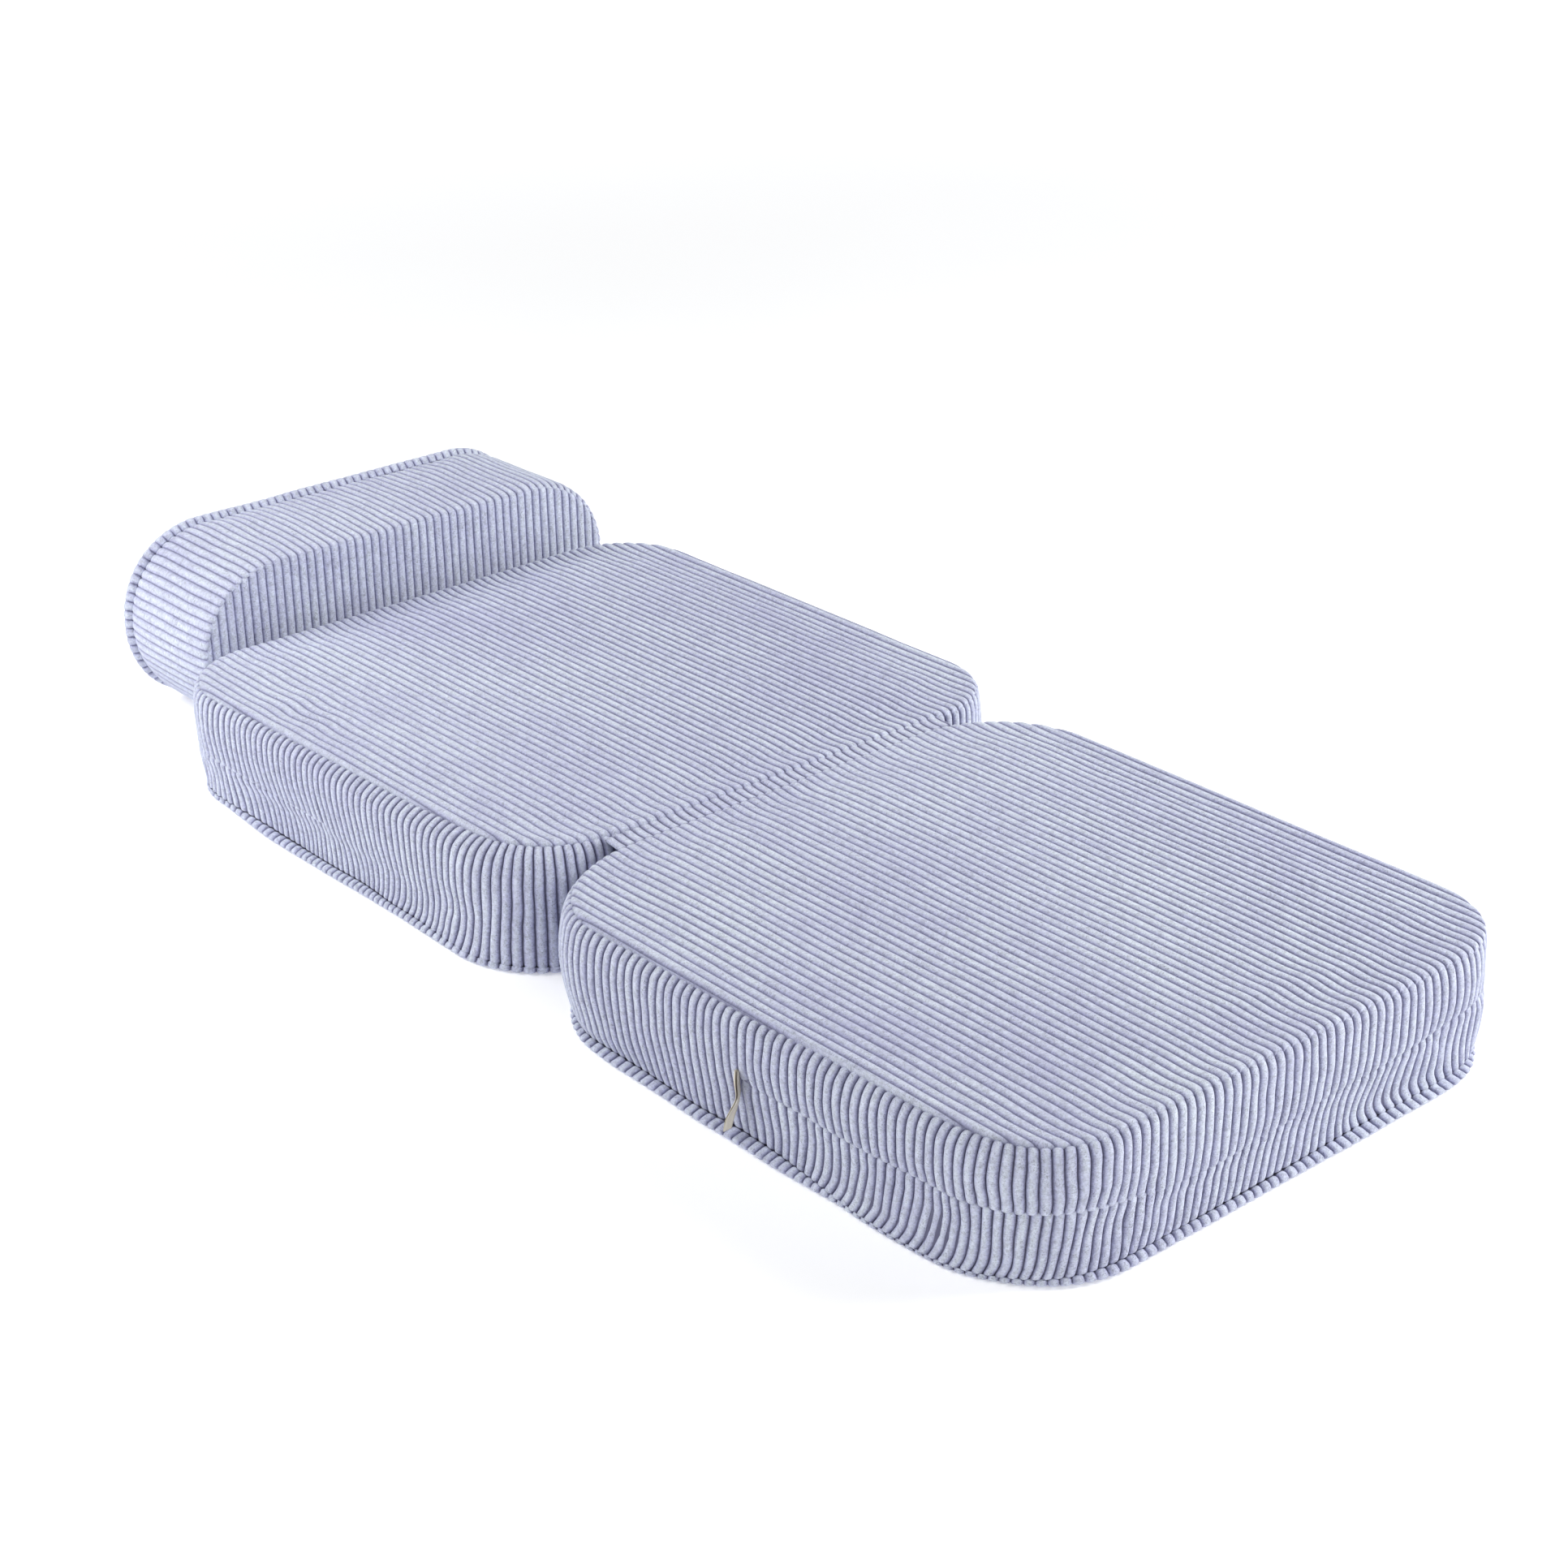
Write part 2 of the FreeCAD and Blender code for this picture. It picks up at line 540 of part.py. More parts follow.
# the bolster's slider parks at the end of its zip, half-way up the +X end
x, y, z = "$bolster_x + $bolster_width / 2", BOLSTER_Y + " + $bolster_zip_depth", "$bolster_height / 2 - $slider_long / 2 - 8"
parts = []
for part, sx, sy, sz, px, py, pz in (
    ("body", "$slider_out", "$slider_wide", "$slider_long", x, "%s - $slider_wide / 2" % y, "%s - $slider_long / 2" % z),
    ("web", "$cover - $zip_coil_deep + 0.01", "2 * $zip_coil_half", "$slider_long - 8",
     "%s - ($cover - $zip_coil_deep)" % x, "%s - $zip_coil_half" % y, "%s + 0.5" % z),
    ("pull", "$pull_thick", "$pull_wide", "$pull_long",
     "%s + $slider_out - 0.4" % x, "%s - $pull_wide / 2" % y, "%s - $pull_long - 1" % z),
):
    c = doc.addObject("Part::Box", "bolster_zip_slider_" + part)
    for prop, e in (("Length", sx), ("Width", sy), ("Height", sz),
                    ("Placement.Base.x", px), ("Placement.Base.y", py), ("Placement.Base.z", pz)):
        bind(c, prop, e)
    parts.append(c)
fuse = doc.addObject("Part::MultiFuse", "bolster_zip_slider")
fuse.Shapes = parts
fuse.Label = "bolster_zip_slider"
doc.recompute()
nodes.append(fuse)

# ------------------------------------------------------------------ checks and files
doc.recompute()
bad = []
for obj in doc.Objects:
    if "Invalid" in obj.State or "Error" in obj.State:
        bad.append("%s: %s" % (obj.Label, obj.State))
for obj in nodes:
    s = obj.Shape
    if s.isNull() or not s.isValid() or not s.Solids or s.Volume < 1:
        bad.append("%s has a bad shape" % obj.Label)
if bad:
    raise RuntimeError("; ".join(bad))

os.makedirs("parts", exist_ok=True)
for obj in nodes:
    s = obj.Shape
    box = s.BoundBox
    print("%-26s solids %d  volume %10.1f cm3  x %7.1f %7.1f  y %7.1f %7.1f  z %6.1f %6.1f" % (
        obj.Label, len(s.Solids), s.Volume / 1000, box.XMin, box.XMax, box.YMin, box.YMax, box.ZMin, box.ZMax))
    s.exportStep("parts/%s.step" % obj.Label)
print(len(nodes), "nodes")
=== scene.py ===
import math

import bpy
import numpy as np
from mathutils import Matrix, Vector


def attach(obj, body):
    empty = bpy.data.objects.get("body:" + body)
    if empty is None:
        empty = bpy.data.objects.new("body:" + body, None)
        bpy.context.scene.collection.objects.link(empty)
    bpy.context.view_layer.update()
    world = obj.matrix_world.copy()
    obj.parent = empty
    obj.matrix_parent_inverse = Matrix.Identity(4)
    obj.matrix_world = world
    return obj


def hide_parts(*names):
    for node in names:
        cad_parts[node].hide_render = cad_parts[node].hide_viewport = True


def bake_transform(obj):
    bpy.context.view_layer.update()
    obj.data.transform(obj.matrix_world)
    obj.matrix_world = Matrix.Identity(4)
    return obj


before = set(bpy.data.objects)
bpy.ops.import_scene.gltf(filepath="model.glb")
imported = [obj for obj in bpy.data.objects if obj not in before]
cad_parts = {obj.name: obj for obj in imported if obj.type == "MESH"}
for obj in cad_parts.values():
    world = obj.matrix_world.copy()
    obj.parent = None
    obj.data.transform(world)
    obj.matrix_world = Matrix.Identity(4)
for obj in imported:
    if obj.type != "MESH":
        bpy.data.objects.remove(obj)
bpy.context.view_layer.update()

# Lengths in the builders below are in millimetres, in the row frame, and become metres in make_mesh.
MM = 0.001
PITCH = 10.1  # one wale of the corduroy
DEPTH = 3.6  # from a wale's crest to the groove
PHASES = np.array([-0.5, -0.465, -0.425, -0.335, -0.18, 0.0, 0.18, 0.335, 0.425, 0.465])


def rib(p):
    """Height of the wale's section, 0 in the groove and 1 on the crest, at phase p."""
    q = np.clip(np.abs(p) * 2.08, 0, 1)
    return (1 - q**2.4) ** 0.62


# ------------------------------------------------------------------ noise
def lattice(seed):
    return np.random.default_rng(seed).uniform(-1, 1, (64, 64))


def noise2(x, y, seed):
    """Smooth value noise, about -1 to 1, one cell per unit."""
    g = lattice(seed)
    x, y = np.broadcast_arrays(np.asarray(x, float), np.asarray(y, float))
    xi, yi = np.floor(x).astype(int), np.floor(y).astype(int)
    fx, fy = x - xi, y - yi
    fx, fy = fx**3 * (fx * (fx * 6 - 15) + 10), fy**3 * (fy * (fy * 6 - 15) + 10)
    a, b = g[xi % 64, yi % 64], g[(xi + 1) % 64, yi % 64]
    c, d = g[xi % 64, (yi + 1) % 64], g[(xi + 1) % 64, (yi + 1) % 64]
    return (a * (1 - fx) + b * fx) * (1 - fy) + (c * (1 - fx) + d * fx) * fy


# ------------------------------------------------------------------ meshes
def make_mesh(name, co, quads, ngons=(), uv=None, floats=None, vectors=None, smooth=True):
    """A mesh object from points in mm, an array of quads and a few n-gons."""
    me = bpy.data.meshes.new(name)
    quads = np.asarray(quads, np.int32)
    loops = [quads.ravel()]
    starts = [np.arange(len(quads)) * 4]
    at = quads.size
    for g in ngons:
        g = np.asarray(g, np.int32)
        loops.append(g)
        starts.append(np.array([at]))
        at += len(g)
    loops, starts = np.concatenate(loops), np.concatenate(starts)
    me.vertices.add(len(co))
    me.vertices.foreach_set("co", (np.asarray(co, float) * MM).astype(np.float32).ravel())
    me.loops.add(len(loops))
    me.loops.foreach_set("vertex_index", loops.astype(np.int32))
    me.polygons.add(len(starts))
    me.polygons.foreach_set("loop_start", starts.astype(np.int32))
    me.update(calc_edges=True)
    if uv is not None:
        rest = np.zeros((len(loops) - quads.size, 2))
        at = 0
        for n, g in enumerate(ngons):
            a = np.linspace(0, 2 * math.pi, len(g), endpoint=False)
            rest[at : at + len(g)] = np.stack(
                [0.985 + 0.006 * np.cos(a), 0.02 + 0.03 * n + 0.012 * np.sin(a)], 1
            )
            at += len(g)
        layer = me.uv_layers.new(name="OFBake")
        layer.data.foreach_set(
            "uv", np.concatenate([uv.reshape(-1, 2), rest]).astype(np.float32).ravel()
        )
    for key, values in (floats or {}).items():
        me.attributes.new(key, "FLOAT", "POINT").data.foreach_set(
            "value", np.asarray(values, np.float32).ravel()
        )
    for key, values in (vectors or {}).items():
        me.attributes.new(key, "FLOAT_VECTOR", "POINT").data.foreach_set(
            "vector", np.asarray(values, np.float32).ravel()
        )
    me.polygons.foreach_set("use_smooth", np.full(len(starts), smooth))
    me.validate()
    me.update()
    ob = bpy.data.objects.new(name, me)
    bpy.context.scene.collection.objects.link(ob)
    return ob


def ring_quads(rows, cols, wrap_rows, wrap_cols):
    """Quads of a grid, counted along the rows of points, closed on itself where asked."""
    i = np.arange(rows if wrap_rows else rows - 1)
    j = np.arange(cols if wrap_cols else cols - 1)
    i, j = np.meshgrid(i, j, indexing="ij")
    i2, j2 = (i + 1) % rows, (j + 1) % cols
    q = np.stack([i * cols + j, i2 * cols + j, i2 * cols + j2, i * cols + j2], -1)
    return q.reshape(-1, 4), i.ravel(), j.ravel()


# ------------------------------------------------------------------ outlines
def rounded_rect(x0, x1, y0, y1, low, high, step=1.0):
    """Points and outward normals of a rounded rectangle, anticlockwise."""
    pts, nrm = [], []

    def line(ax, ay, bx, by, nx, ny):
        long_ = math.hypot(bx - ax, by - ay)
        n = int(round(long_ / step))
        for i in range(n):
            pts.append((ax + (bx - ax) * i / n, ay + (by - ay) * i / n))
            nrm.append((nx, ny))

    def arc(cx, cy, r, start):
        n = max(4, int(round(r * math.pi / 2 / step)))
        for i in range(n):
            a = start + math.pi / 2 * i / n
            pts.append((cx + r * math.cos(a), cy + r * math.sin(a)))
            nrm.append((math.cos(a), math.sin(a)))

    line(x0 + low, y0, x1 - low, y0, 0, -1)
    arc(x1 - low, y0 + low, low, -math.pi / 2)
    line(x1, y0 + low, x1, y1 - high, 1, 0)
    arc(x1 - high, y1 - high, high, 0)
    line(x1 - high, y1, x0 + high, y1, 0, 1)
    arc(x0 + high, y1 - high, high, math.pi / 2)
    line(x0, y1 - high, x0, y0 + low, -1, 0)
    arc(x0 + low, y0 + low, low, math.pi)
    return np.array(pts), np.array(nrm)


def smooth_round(values, length, sigma):
    """Circular Gaussian smoothing of evenly spaced values round a loop."""
    n = values.shape[-1]
    f = np.fft.fftfreq(n, d=length / n)
    return np.real(np.fft.ifft(np.fft.fft(values, axis=-1) * np.exp(-2 * (math.pi * sigma * f) ** 2), axis=-1))


class Loop:
    """A closed outline with a start point: s runs anticlockwise in mm."""

    def __init__(self, pts, nrm, start):
        k = int(np.argmin(np.hypot(pts[:, 0] - start[0], pts[:, 1] - start[1])))
        self.p, self.n = np.roll(pts, -k, 0), np.roll(nrm, -k, 0)
        step = np.hypot(*(np.roll(self.p, -1, 0) - self.p).T)
        self.s = np.concatenate([[0], np.cumsum(step)[:-1]])
        self.length = float(step.sum())
        self.pitch = self.length / round(self.length / PITCH)
        even = np.arange(0, self.length, self.length / len(self.s))
        n = np.stack([np.interp(even, self.s, self.n[:, i], period=self.length) for i in (0, 1)])
        n = smooth_round(n, self.length, 5.0)
        self.even, self.n = even, (n / np.hypot(*n)).T

    def at(self, s):
        x, y = (np.interp(s, self.s, self.p[:, i], period=self.length) for i in (0, 1))
        nx, ny = (np.interp(s, self.even, self.n[:, i], period=self.length) for i in (0, 1))
        return x, y, nx, ny

    def find(self, x, y):
        return float(self.s[int(np.argmin(np.hypot(self.p[:, 0] - x, self.p[:, 1] - y)))])


class Stations:
    """Numbers given at some places round a loop, joined smoothly: rows of (s, values)."""

    def __init__(self, loop, rows, sigma=16.0):
        self.length = loop.length
        if not rows:
            return
        rows = sorted(rows, key=lambda r: r[0])
        at = np.array([r[0] for r in rows])
        values = np.array([r[1] for r in rows], float)
        self.grid = np.linspace(0, loop.length, int(loop.length / 2), endpoint=False)
        table = np.stack([np.interp(self.grid, at, v, period=loop.length) for v in values.T])
        self.table = smooth_round(table, loop.length, sigma)

    def at(self, s):
        """The values at s, one row each."""
        return np.stack([np.interp(s, self.grid, t, period=self.length) for t in self.table])

    def times(self, factor):
        made = Stations(self, [], 0.0)
        made.grid, made.table = self.grid, self.table * factor
        return made


def along(values, t):
    """A smooth curve through the rows of values, at t from 0 to their last index."""
    last = len(values) - 1
    t = min(max(t, 0.0), float(last))
    k = min(int(t), last - 1)
    f = t - k
    b, c = values[k], values[k + 1]
    a = values[k - 1] if k > 0 else 2 * b - c
    d = values[k + 2] if k + 2 <= last else 2 * c - b
    return 0.5 * (2 * b + (c - a) * f + (2 * a - 5 * b + 4 * c - d) * f * f + (3 * b - a - 3 * c + d) * f**3)


def end_dome(v, deep, reach):
    """How far a wale's end sinks into its seam, v mm from the seam."""
    q = np.clip(1 - v / reach, 0, 1)
    return deep * (1 - np.sqrt(np.clip(1 - q * q, 0, 1)))


def columns(u0, u1, phase0, pitch=PITCH):
    """Columns of points across the wales from u0 to u1: u, phase and wale number."""
    k0, k1 = math.floor((u0 - phase0) / pitch) - 1, math.ceil((u1 - phase0) / pitch) + 1
    u = (np.arange(k0, k1 + 1)[:, None] + PHASES[None, :]).ravel() * pitch + phase0
    u = u[(u > u0 + 0.15) & (u < u1 - 0.15)]
    u = np.concatenate([[u0], u, [u1]])
    q = (u - phase0) / pitch + 0.5
    k = np.floor(q + 1e-6)
    return u, q - k - 0.5, k


def to_groove(u, phase0, pitch):
    """The groove nearest to u."""
    return phase0 + (round((u - phase0) / pitch - 0.5) + 0.5) * pitch


def wale_height(k, seed):
    """A share of the full depth for each wale, a little different from one to the next."""
    r = np.random.default_rng(seed).uniform(-1, 1, 4096)
    return 1 + 0.05 * r[(k.astype(int) + 2048) % 4096]


def wale_shade(k, seed):
    r = np.random.default_rng(seed + 991).uniform(-1, 1, 4096)
    return r[(k.astype(int) + 2048) % 4096]


# ------------------------------------------------------------------ cloth simulation of the covers
class Field:
    """Values on an even grid, read smoothly in between; wraps round in its first direction if asked."""

    def __init__(self, x0, y0, dx, dy, table, wrap=False):
        self.x0, self.y0, self.dx, self.dy, self.table, self.wrap = x0, y0, dx, dy, table, wrap

    def __call__(self, x, y):
        t = self.table
        u, v = (np.asarray(x, float) - self.x0) / self.dx, (np.asarray(y, float) - self.y0) / self.dy
        u, v = np.broadcast_arrays(u, v)
        n, m = t.shape
        u = np.mod(u, n) if self.wrap else np.clip(u, 0, n - 1.001)
        v = np.clip(v, 0, m - 1.001)
        i, j = np.floor(u).astype(int), np.floor(v).astype(int)
        f, g = u - i, v - j
        f, g = f * f * (3 - 2 * f), g * g * (3 - 2 * g)
        i, i2 = i % n, (i + 1) % n if self.wrap else np.minimum(i + 1, n - 1)
        return (t[i, j] * (1 - f) + t[i2, j] * f) * (1 - g) + (t[i, j + 1] * (1 - f) + t[i2, j + 1] * f) * g


def inflated(name, loop, low, high, voxel=14.0, cap=16.0, pressure=4.0):
    """A cover blown up by Blender's cloth solver: where each point starts and how far it moves, in mm."""
    s = np.arange(0, loop.length, 12.0)
    x, y, nx, ny = loop.at(s)
    rows = []
    for r, c in ((-9, low), (-3.5, low + 4), (-1.5, low + 11), (-1.5, 0.5 * (low + high)), (-1.5, high - 11),
                 (-3.5, high - 4), (-9, high)):
        rows.append(np.stack([x + nx * r, y + ny * r, np.full(len(s), float(c))], 1))
    quads, _, _ = ring_quads(len(rows), len(s), False, True)
    n = len(s)
    ends = [list(range(n))[::-1], list(range((len(rows) - 1) * n, len(rows) * n))]
    shell = make_mesh(name + "_shell", np.concatenate(rows), quads, ends, smooth=False)
    remesh = shell.modifiers.new("even", "REMESH")
    remesh.mode = "VOXEL"
    remesh.voxel_size = voxel * MM
    graph = bpy.context.evaluated_depsgraph_get()
    me = bpy.data.meshes.new_from_object(shell.evaluated_get(graph))
    old = shell.data
    bpy.data.objects.remove(shell)
    bpy.data.meshes.remove(old)
    pad = bpy.data.objects.new(name + "_pad", me)
    bpy.context.scene.collection.objects.link(pad)
    first = np.empty(len(me.vertices) * 3, np.float32)
    me.vertices.foreach_get("co", first)
    first = first.reshape(-1, 3).astype(float) / MM
    held = np.nonzero(first[:, 2] < low + 6.0)[0]
    group = pad.vertex_groups.new(name="held")
    group.add([int(i) for i in held], 1.0, "REPLACE")
    mod = pad.modifiers.new("cloth", "CLOTH")
    st = mod.settings
    st.quality = 5
    st.mass = 0.3
    st.tension_stiffness = st.compression_stiffness = 12.0
    st.shear_stiffness = 4.0
    st.bending_stiffness = 0.4
    st.use_pressure = True
    st.uniform_pressure_force = pressure
    st.effector_weights.gravity = 0.0
    st.vertex_group_mass = "held"
    mod.collision_settings.use_collision = False
    mod.collision_settings.use_self_collision = False
    scene = bpy.context.scene
    for f in range(1, 21):
        scene.frame_set(f)
    graph = bpy.context.evaluated_depsgraph_get()
    blown = bpy.data.meshes.new_from_object(pad.evaluated_get(graph))
    last = np.empty(len(blown.vertices) * 3, np.float32)
    blown.vertices.foreach_get("co", last)
    last = last.reshape(-1, 3).astype(float) / MM
    scene.frame_set(1)
    bpy.data.objects.remove(pad)
    bpy.data.meshes.remove(me)
    bpy.data.meshes.remove(blown)
    move = last - first
    far = np.linalg.norm(move, axis=1, keepdims=True)
    return first, move * np.minimum(1.0, cap / np.maximum(far, 1e-9))


def sampled(first, move, points):
    """The movement at the points, from the nearest simulated ones."""
    from mathutils.kdtree import KDTree

    tree = KDTree(len(first))
    for i, co in enumerate(first):
        tree.insert(co, i)
    tree.balance()
    out = np.empty((len(points), 3))
    for i, co in enumerate(points):
        near = tree.find_n(co, 5)
        w = np.array([1.0 / (d * d + 9.0) for _, _, d in near])
        out[i] = (move[[k for _, k, _ in near]] * w[:, None]).sum(0) / w.sum()
    return out


def swelling(name, loop, low, high):
    """Two fields from the simulation: the pucker of the side, over s and height, and the crown of the face."""
    first, move = inflated(name, loop, low, high)
    step = loop.length / round(loop.length / 11.0)
    s = np.arange(round(loop.length / step)) * step
    c = np.arange(low + 3.0, high - 2.0, 11.0)
    x, y, nx, ny = loop.at(s)
    S, C = np.meshgrid(np.arange(len(s)), c, indexing="ij")
    pts = np.stack([(x - 1.5 * nx)[S.ravel()], (y - 1.5 * ny)[S.ravel()], C.ravel()], 1)
    got = sampled(first, move, pts)
    r = (got[:, 0] * nx[S.ravel()] + got[:, 1] * ny[S.ravel()]).reshape(S.shape)
    wide = smooth_round(r.T, loop.length, 55.0).T
    pucker = np.clip(smooth_round((r - wide).T, loop.length, 7.0).T * 0.8, -2.2, 2.2)
    fade = np.clip((c - low - 4) / 16.0, 0, 1) * np.clip((high - 4 - c) / 14.0, 0, 1)
    side = Field(0.0, c[0], step, 11.0, pucker * fade[None, :], True)
    lo, hi = loop.p.min(0), loop.p.max(0)
    gx, gy = np.arange(lo[0], hi[0] + 12, 12.0), np.arange(lo[1], hi[1] + 12, 12.0)
    X, Y = np.meshgrid(gx, gy, indexing="ij")
    got = sampled(first, move, np.stack([X.ravel(), Y.ravel(), np.full(X.size, high)], 1))[:, 2].reshape(X.shape)
    top = np.clip(0.30 * (got - np.percentile(got, 90)), -1.8, 0.3)
    return side, Field(gx[0], gy[0], 12.0, 12.0, top)


# ------------------------------------------------------------------ a ribbed band round a loop
def at_or(value, s):
    """A number, or stations read at s."""
    return value.at(s)[0] if isinstance(value, Stations) else value


def band(name, loop, out, lean, level, u0, u1, ts, place, phase0=0.0, top=(2.2, 4.5), bottom=(2.0, 4.0),
         scallop=0.0, wall=2.8, seed=1, closed=False, depth=DEPTH, limit=None, wave=0.6, tuck=0.0, depths=None, slide=0.0, dent=None,
         puffed=None):
    """A band of corduroy round a loop, its wales across the band, as a closed solid.

    out gives the crests' offset from the loop at each level, lean the wales' shift along the
    loop, both at the control rows of level. ts are the rows of points, in control rows.
    """
    u, phase, k = columns(u0, u1, phase0, loop.pitch)
    if closed:
        u, phase, k = u[:-1], phase[:-1], k[:-1]
    shape, hv = rib(phase), wale_height(k, seed)
    rows, nrm_flat = [], []
    lean_u, level_u, sway = lean.at(u), level.at(u), at_or(wave, u)
    slide = at_or(slide, u)
    for t in ts:
        c = along(level_u, t)
        shift = along(lean_u, t) + 0.30 * noise2(u / 14.0, t * 1.3 + 7, seed + 3)
        shift = shift + sway * (noise2(u / 34.0, c / 21.0, seed + 4) + 0.6 * noise2(u / 90.0, c / 34.0, seed + 14))
        shift = shift + 0.45 * noise2(u / 13.0, c / 24.0, seed + 15) + slide
        s = u + shift
        r = along(out.at(s), t)
        r = r + 0.45 * noise2(s / 55.0, c / 42.0, seed + 5) + 0.14 * noise2(s / 11.0, c / 16.0, seed + 6)
        if puffed is not None:
            r = r + puffed(s, c)
        if tuck:
            r = r - at_or(tuck, u) * np.clip(1 - (t - ts[0]) / 0.7, 0, 1) ** 2
        if dent is not None:
            r = r - dent[2] * np.exp(-(((s - dent[0]) / dent[3]) ** 2) - ((c - dent[1]) / (1.3 * dent[3])) ** 2)
        x, y, nx, ny = loop.at(s)
        if limit is not None:
            r = limit(s, r)
        rows.append(np.stack([x + nx * r, y + ny * r, c], 1))
        nrm_flat.append(np.stack([nx, ny, np.zeros(len(u))], 1))
    P, flat = np.array(rows), np.array(nrm_flat)
    across = np.roll(P, -1, 1) - np.roll(P, 1, 1) if closed else np.gradient(P, axis=1)
    N = np.cross(np.gradient(P, axis=0), across)
    N /= np.maximum(np.linalg.norm(N, axis=2, keepdims=True), 1e-9)
    N *= np.sign((N * flat).sum(2).mean())
    N = np.where((np.linalg.norm(N, axis=2) > 0.5)[..., None], N, flat)
    v = np.concatenate([np.zeros((1, P.shape[1])), np.cumsum(np.linalg.norm(np.diff(P, axis=0), axis=2), 0)])
    V = v[-1:]
    # a wale that leans is narrower across itself, and its grooves are shallower
    A, T = np.gradient(P, u, axis=1), np.gradient(P, axis=0)
    wide = np.linalg.norm(np.cross(A, T), axis=2) / np.maximum(np.linalg.norm(T, axis=2), 1e-6)
    run = np.cumsum(np.pad(wide, ((0, 0), (6, 5)), mode="edge"), axis=1)
    wide = (np.pad(run, ((0, 0), (1, 0)))[:, 11:] - np.pad(run, ((0, 0), (1, 0)))[:, :-11]) / 11.0
    narrow = np.clip(wide[:, : len(u)], 0.45, 1.1)
    deep0, deep1 = at_or(top[0], u), at_or(bottom[0], u)
    dome = end_dome(v, deep0, top[1]) + end_dome(V - v, deep1, bottom[1])
    share = np.ones(len(ts)) if depths is None else np.interp(ts, depths[0], depths[1])
    deeper = at_or(depth, u) * np.ones(len(u))
    carve = np.maximum(deeper[None, :] * share[:, None] * hv[None, :] * narrow - 0.6 * dome, 0.15) * (1 - shape[None, :])
    fur = 0.07 * noise2(u[None, :] / 1.3, v / 2.2, seed + 8)
    P = P - N * (dome + carve + fur)[..., None]
    if scallop:
        P[..., 2] -= at_or(scallop, u) * (shape[None, :] - 0.4) * np.clip(1 - (V - v) / 5.0, 0, 1) ** 1.5
    inner_low, inner_high = P[-1] - flat[-1] * wall, P[0] - flat[0] * wall
    inner_low[:, 2] += (P[0, :, 2] - P[-1, :, 2]) * 0.004
    inner_high[:, 2] -= (P[0, :, 2] - P[-1, :, 2]) * 0.01
    m, n = P.shape[:2]
    G = np.concatenate([P, inner_low[None], inner_high[None]])
    quads, qi, qj = ring_quads(m + 2, n, True, closed)
    # the groove mask, 0 on the crest and 1 in the groove, from which the material paints shade on the flanks and in the
    # groove
    groove = np.clip(1 - shape[None, :] * np.ones((m, 1)), 0, 1) * (0.35 + 0.65 * share[:, None])
    groove = groove * np.clip(0.3 + 0.7 * deeper[None, :] / DEPTH, 0.3, 1)
    # painted shade at the seams: the wale ends darkened within 2.4 mm of each seam, more where the seam is deeper
    weight0, weight1 = np.clip(deep0 / 2.0, 0.1, 1), np.clip(deep1 / 2.0, 0.1, 1)
    end = np.clip(1 - v / 2.4, 0, 1) * weight0 + np.clip(1 - (V - v) / 2.4, 0, 1) * weight1
    pad = np.ones((2, n))
    full_groove = np.concatenate([groove, pad])
    full_end = np.concatenate([np.clip(end * (0.45 + 0.55 * groove), 0, 1), pad])
    shade = np.tile(wale_shade(k, seed), m + 2)
    fabric = np.stack([np.tile(u, m + 2), np.concatenate([v, np.tile(V, (2, 1))]).ravel(), shade], 1)
    fabric[:, :2] *= MM
    # the map: the band cut into strips, one over the other
    total, tall = float(u[-1] - u[0]), float(V.mean())
    strips = max(1, int(round(math.sqrt(total / (tall + 6)))))
    long_ = total / strips * 1.0001
    U = u - u[0]
    strip = np.minimum((U[qj] // long_).astype(int), strips - 1)
    side = max(long_, strips * (tall + 4)) / 0.965
    vm = np.concatenate([v.mean(1), [V.mean() + 1.5, V.mean() + 3.0]])
    i2, j2 = (qi + 1) % (m + 2), (qj + 1) % n
    vi, vi2 = vm[qi], np.where(i2 == 0, V.mean() + 3.9, vm[i2])
    uj, uj2 = U[qj] - strip * long_, np.where(j2 == 0, total + 0.4, U[j2]) - strip * long_
    base = strip * (tall + 4)
    uv = np.stack([np.stack([uj, base + vi], 1), np.stack([uj, base + vi2], 1),
                   np.stack([uj2, base + vi2], 1), np.stack([uj2, base + vi], 1)], 1) / side
    caps = []
    if not closed:
        first = [i * n for i in range(m + 2)]
        last = [i * n + n - 1 for i in range(m + 2)]
        caps = [first[::-1], last]
    co = place(G.reshape(-1, 3))
    return make_mesh(name, co, quads, caps, uv, {"groove": full_groove, "seam": full_end}, {"fabric": fabric})


# ------------------------------------------------------------------ a ribbed panel inside an outline
def distance_to(poly, p, q):
    """Distance of each point to the closed polygon."""
    a, b = poly, np.roll(poly, -1, 0)
    ab = b - a
    l2 = np.maximum((ab**2).sum(1), 1e-12)
    out = np.empty(p.size)
    pts = np.stack([p.ravel(), q.ravel()], 1)
    for start in range(0, len(pts), 4000):
        c = pts[start : start + 4000]
        d = c[:, None, :] - a[None]
        t = np.clip((d * ab[None]).sum(2) / l2[None], 0, 1)
        e = d - t[..., None] * ab[None]
        out[start : start + 4000] = np.sqrt((e**2).sum(2)).min(1)
    return out.reshape(p.shape)


END_STEPS = np.array([0, 0.5, 1.1, 1.9, 3.0, 4.4, 6.2, 8.5, 11.5, 15.5, 21.0, 28.0, 37.0])


